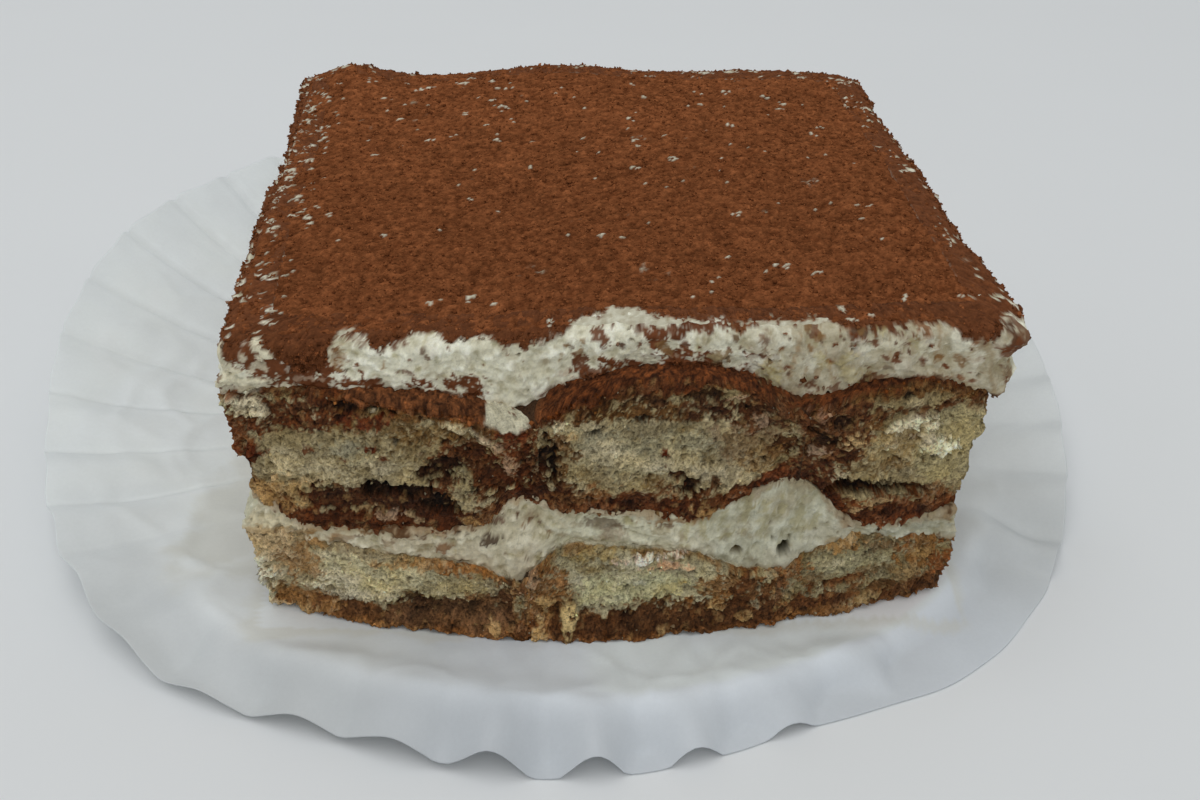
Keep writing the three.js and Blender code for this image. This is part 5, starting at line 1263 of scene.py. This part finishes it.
def paper_case():
    n_a = int(520 / FINE)
    radii = np.concatenate([[4, 12, 20, 26], np.arange(29, 42, 1.3), np.arange(42, 65.1, 0.64 * FINE), [65.2]])
    a = 2 * math.pi * np.arange(n_a) / n_a
    R, A = np.meshgrid(radii, a, indexing="ij")
    phase, front, left, right = pleats(np.cos(a), np.sin(a))
    # the rim swings a little in and out where the pleats fold
    rim = 0.35 * np.cos(phase) * lerp(0.9, 0.2, front) + 0.5 * np.sin(3 * a + 0.6) + 0.35 * np.sin(7 * a) + 1.2 * smooth((25 - np.abs(wrap(np.degrees(a), -42))) / 20) - 3.2 * smooth((42 - np.abs(wrap(np.degrees(a), -93))) / 24)
    scale = 1 + rim / 65.0 * smooth((R - 50) / 15)
    x, y = (R * scale * np.cos(A)).ravel(), (R * scale * np.sin(A)).ravel()
    top = paper_height(x, y)
    n = len(x)
    thick = 0.11
    hi = np.stack([x, y, top], 1)
    lo = np.stack([x, y, top - thick], 1)
    rows, cols = len(radii), n_a
    quads, r, c = lattice_faces(rows, cols, True)
    # a grid with columns anticlockwise and rows going out faces down, so it is turned over
    qt = quads[:, ::-1]
    qb = quads + n
    k = np.arange(cols)
    k1 = (k + 1) % cols
    o = (rows - 1) * cols
    rim_q = np.stack([o + n + k, o + n + k1, o + k1, o + k], 1)
    ctr, ctl = 2 * n, 2 * n + 1
    tris = np.concatenate([np.stack([np.full(cols, ctr), k, k1], 1), np.stack([np.full(cols, ctl), n + k1, n + k], 1)])
    V = np.concatenate([hi, lo, [[0, 0, 0.24], [0, 0, 0.13]]])
    flat = np.concatenate([np.stack([R.ravel() * np.cos(A.ravel()), R.ravel() * np.sin(A.ravel())], 1)] * 2 + [[[0, 0], [0, 0]]])
    uv_top = flat / 66.5 * 0.245
    def uv_of(faces, cx, cy):
        return uv_top[faces] + [cx, cy]
    # the map holds the two faces side by side
    big = flat / 67.0
    def place_uv(faces, cx, cy, s):
        return big[faces] * s + [cx, cy]
    uvq = np.concatenate([place_uv(qt, 0.34, 0.34, 0.33), place_uv(qb, 0.85, 0.85, 0.14)])
    ur = np.zeros((cols, 4, 2))
    ur[:, :, 0] = np.stack([k, k + 1, k + 1, k], 1) / cols * 0.6 + 0.02
    ur[:, :, 1] = [0.98, 0.98, 0.99, 0.99]
    uvq = np.concatenate([uvq, ur])
    uvt = np.concatenate([place_uv(tris[:cols], 0.34, 0.34, 0.33), place_uv(tris[cols:], 0.85, 0.85, 0.14)])
    P = V
    nn = fbm(P, 9.0, 3, 0.5, 961)
    base = srgb(247, 251, 252)
    col = np.tile(base, (len(V), 1)) * (1 + 0.015 * nn)[:, None]
    # painted shade: the drooping front lip is darkened, where it stands over a shadowed gap
    ang, rad = np.degrees(np.arctan2(P[:, 1], P[:, 0])), np.hypot(P[:, 0], P[:, 1])
    shade = 0.22 * smooth((72 - np.abs(wrap(ang, -88))) / 26) * smooth((rad - 55.5) / 4)
    # painted light and shade by direction round the case: darker at the front left and at the right, lighter at the
    # front right
    painted_light_by_angle = 1 - 0.11 * smooth((21 - np.abs(wrap(ang, -107))) / 12) + 0.09 * smooth((12 - np.abs(wrap(ang, -49))) / 10) - 0.10 * smooth((32 - np.abs(wrap(ang, -8))) / 14)
    # painted light: the front is made a little bluer, against the warm light the portion throws onto it
    painted_cool_light = smooth((44 - np.abs(wrap(ang, -74))) / 20)[:, None] * smooth((rad - 40) / 6)[:, None]
    col = np.minimum(col * (painted_light_by_angle * (1 - shade))[:, None] * lerp(np.ones(3), np.array([0.985, 1.0, 1.04]), painted_cool_light), 0.97)
    # butter and cream have stained it next to the portion
    gx = np.maximum(np.maximum(CX - HW - P[:, 0], 0), P[:, 0] - CX - HW)
    gy = np.maximum(np.maximum(CY - HD - 4.5 - P[:, 1], 0), P[:, 1] - (CY + HD + 3))
    close = np.hypot(gx, gy)
    grease = smooth((2.2 + 1.6 * fbm(P, 5.0, 3, 0.6, 971) - close) / 1.5) * (close > 0)
    left_smear = smooth((6.5 + 3.0 * fbm(P, 6.0, 3, 0.6, 973) - np.hypot(P[:, 0] + 38, (P[:, 1] + 26) * 0.45)) / 3.0)
    col = mix(col, srgb(226, 225, 214), 0.5 * clamp(grease + left_smear))
    return write_mesh("paper_liner", V, np.concatenate([qt, qb, rim_q]), tris, col, uvq, uvt, {"wet": 0 * nn}, M_PAPER)


def paper_material():
    m, nt, b = new_material("greaseproof paper")
    co = node(nt, "ShaderNodeTexCoord").outputs["Object"]
    col = node(nt, "ShaderNodeAttribute", attribute_name="Col").outputs["Color"]
    fibre = noise_node(nt, co, 2600.0, 3.0, 0.6, 0.4)
    cloud = noise_node(nt, co, 160.0, 3.0, 0.5)
    tone = maths(nt, "MULTIPLY", map_range(nt, fibre, 0.3, 0.7, 0.985, 1.015), map_range(nt, cloud, 0.3, 0.7, 0.975, 1.02))
    nt.links.new(shade_colour(nt, col, tone), b.inputs["Base Color"])
    nt.links.new(map_range(nt, cloud, 0.3, 0.7, 0.42, 0.55), b.inputs["Roughness"])
    b.inputs["Specular IOR Level"].default_value = 0.25
    nt.links.new(bump(nt, fibre, 0.25, 0.03), b.inputs["Normal"])
    # thin enough for some light to come through
    thin = node(nt, "ShaderNodeBsdfTranslucent")
    nt.links.new(shade_colour(nt, col, tone), thin.inputs["Color"])
    both = node(nt, "ShaderNodeMixShader")
    both.inputs[0].default_value = 0.16
    nt.links.new(b.outputs[0], both.inputs[1])
    nt.links.new(thin.outputs[0], both.inputs[2])
    nt.links.new(both.outputs[0], next(n for n in nt.nodes if n.type == "OUTPUT_MATERIAL").inputs["Surface"])
    return m


M_PAPER = paper_material()
add(paper_case(), "paper", "paper_case")


# ------------------------------------------------------------------------------------------------ grains and crumbs
def icosphere(level):
    """Vertices and triangles of a small ball. Level -1 is eight triangles."""
    if level < 0:
        v = np.array([(1, 0, 0), (-1, 0, 0), (0, 1, 0), (0, -1, 0), (0, 0, 1), (0, 0, -1)], float)
        return v, np.array([(0, 2, 4), (2, 1, 4), (1, 3, 4), (3, 0, 4), (2, 0, 5), (1, 2, 5), (3, 1, 5), (0, 3, 5)])
    t = (1 + 5 ** 0.5) / 2
    v = [(-1, t, 0), (1, t, 0), (-1, -t, 0), (1, -t, 0), (0, -1, t), (0, 1, t), (0, -1, -t), (0, 1, -t), (t, 0, -1), (t, 0, 1), (-t, 0, -1), (-t, 0, 1)]
    f = [(0, 11, 5), (0, 5, 1), (0, 1, 7), (0, 7, 10), (0, 10, 11), (1, 5, 9), (5, 11, 4), (11, 10, 2), (10, 7, 6), (7, 1, 8),
         (3, 9, 4), (3, 4, 2), (3, 2, 6), (3, 6, 8), (3, 8, 9), (4, 9, 5), (2, 4, 11), (6, 2, 10), (8, 6, 7), (9, 8, 1)]
    v = [np.array(p) / np.linalg.norm(p) for p in v]
    for _ in range(level):
        seen, g = {}, []
        def mid(a, b):
            key = (min(a, b), max(a, b))
            if key not in seen:
                p = v[a] + v[b]
                v.append(p / np.linalg.norm(p))
                seen[key] = len(v) - 1
            return seen[key]
        for a, b, c in f:
            ab, bc, ca = mid(a, b), mid(b, c), mid(c, a)
            g += [(a, ab, ca), (b, bc, ab), (c, ca, bc), (ab, bc, ca)]
        f = g
    return np.array(v), np.array(f)


def scatter(name, at, size, colours, level, seed, material, squash=0.75, rough=0.35, wet=0.1):
    """Small uneven lumps joined into one mesh. at is (n, 3) in the row's frame, in mm; size is each lump's radius."""
    r = np.random.RandomState(seed)
    bv, bf = icosphere(level)
    n, nv = len(at), len(bv)
    q = r.normal(size=(n, 4))
    q /= np.linalg.norm(q, axis=1, keepdims=True)
    w, x, y, z = q.T
    rot = np.stack([1 - 2 * (y * y + z * z), 2 * (x * y - z * w), 2 * (x * z + y * w), 2 * (x * y + z * w), 1 - 2 * (x * x + z * z), 2 * (y * z - x * w),
                    2 * (x * z - y * w), 2 * (y * z + x * w), 1 - 2 * (x * x + y * y)], 1).reshape(n, 3, 3)
    shape = bv[None] * r.uniform(squash, 1.25, size=(n, 1, 3)) * r.uniform(1 - rough, 1 + rough, size=(n, nv, 1))
    V = np.einsum("nij,nkj->nki", rot, shape) * size[:, None, None] + at[:, None, :]
    F = bf[None] + (np.arange(n) * nv)[:, None, None]
    col = np.repeat(colours, nv, axis=0)
    me_v, me_f = V.reshape(-1, 3), F.reshape(-1, 3)
    ob = write_mesh(name, me_v, np.zeros((0, 4), int), me_f, col, None, None, {"wet": np.full(len(me_v), wet), "tex": np.full(len(me_v), 0.6)}, material)
    return ob


def pick(r, weights, count):
    p = np.clip(weights, 0, None)
    return r.choice(len(p), size=count, replace=False, p=p / p.sum())


r = np.random.RandomState(71)
WEIGHT = np.array([1.0, 2.1, 1.9, 2.1])     # the front's points lie closer together than the other sides'

# torn crumbs standing out of the cut sides
pts, nor, col, side, _, edge = (np.concatenate([s[k] for s in SPOTS if s[4] == "crumb"]) if k != 4 else None for k in range(6))
i = pick(r, WEIGHT[side] * edge, 8600)
size = np.clip(r.lognormal(math.log(0.12), 0.42, len(i)), 0.06, 0.40)
tone = np.exp(r.normal(0.06, 0.30, (len(i), 1)))
c = col[i] * tone
odd = r.uniform(size=len(i))
for lo, hi, shade in ((0.0, 0.05, GOLD), (0.05, 0.10, BUFF), (0.10, 0.15, PALE_HI), (0.15, 0.22, UMBER)):
    w = (odd >= lo) & (odd < hi)
    c[w] = c[w] * 0.45 + shade * 0.55
at = pts[i] + nor[i] * (size * r.uniform(-0.3, 0.55, len(i)))[:, None]
at[:, 2] = np.maximum(at[:, 2], paper_dish(at[:, 0], at[:, 1]) + 0.3 + size)
add(scatter("torn_crumbs", at, size, c, -1, 73, M_SPONGE, squash=0.45, rough=0.45, wet=0.3), "sponge")

# cocoa grains and clumps, on the top and where cocoa lies on the sides
i = pick(r, np.where(cocoa_cov > 0.8, 1.0, 0.03), 7400)
size = np.clip(r.lognormal(math.log(0.13), 0.36, len(i)), 0.07, 0.36)
at = cocoa_top[i] + np.stack([r.uniform(-0.12, 0.12, len(i)), r.uniform(-0.12, 0.12, len(i)), 0.25 * size], 1) + [CX, CY, 0]
pts, nor, col, side = (np.concatenate([s[k] for s in SPOTS if s[4] == "cocoa"]) for k in range(4))
j = pick(r, WEIGHT[side], 3600)
size2 = np.clip(r.lognormal(math.log(0.12), 0.36, len(j)), 0.06, 0.34)
at = np.concatenate([at, pts[j] + nor[j] * (0.2 * size2)[:, None]])
size = np.concatenate([size, size2])
tone = r.uniform(size=(len(at), 1))
colours = COCOA * 0.80 * (1 - tone) + COCOA_HI * 1.12 * tone
colours[len(i):] = col[j] * np.exp(r.normal(0.05, 0.3, (len(j), 1)))
add(scatter("cocoa_grains", at, size, colours, -1, 72, M_COCOA), "cocoa")


# ------------------------------------------------------------------------------------------------ floor, light
def stage():
    bpy.ops.mesh.primitive_plane_add(size=6.0, location=(0, 0, 0))
    floor = bpy.context.object
    floor.name = "floor"
    m, nt, b = new_material("pale floor")
    co = node(nt, "ShaderNodeTexCoord").outputs["Object"]
    n = noise_node(nt, co, 30.0, 2.0, 0.5)
    c = blend_colour(nt, srgb(230, 232, 233), srgb(232, 234, 235), n)
    nt.links.new(c, b.inputs["Base Color"])
    b.inputs["Roughness"].default_value = 0.7
    b.inputs["Specular IOR Level"].default_value = 0.2
    floor.data.materials.append(m)

    w = bpy.data.worlds.new("soft room")
    bpy.context.scene.world = w
    w.use_nodes = True
    bg = w.node_tree.nodes["Background"]
    bg.inputs["Color"].default_value = (0.965, 0.99, 1.0, 1)
    bg.inputs["Strength"].default_value = 0.47

    def area(name, at, size, power, colour, aim):
        d = bpy.data.lights.new(name, "AREA")
        d.shape, d.size, d.energy, d.color = "DISK", size, power, colour
        o = bpy.data.objects.new(name, d)
        o.location = at
        o.rotation_euler = (Vector(aim) - Vector(at)).to_track_quat("-Z", "Y").to_euler()
        bpy.context.scene.collection.objects.link(o)

    area("window", (-0.26, -0.02, 1.2), 1.1, 4.1, (0.99, 0.995, 1.0), (0, 0, 0.02))
    area("fill", (0.05, -0.9, 0.9), 1.0, 2.4, (1.0, 0.995, 0.985), (0, 0, 0.03))
    vs = bpy.context.scene.view_settings
    vs.view_transform = "Standard"
    vs.look = "None"
    vs.exposure = 0.0
    vs.gamma = 1.0


stage()
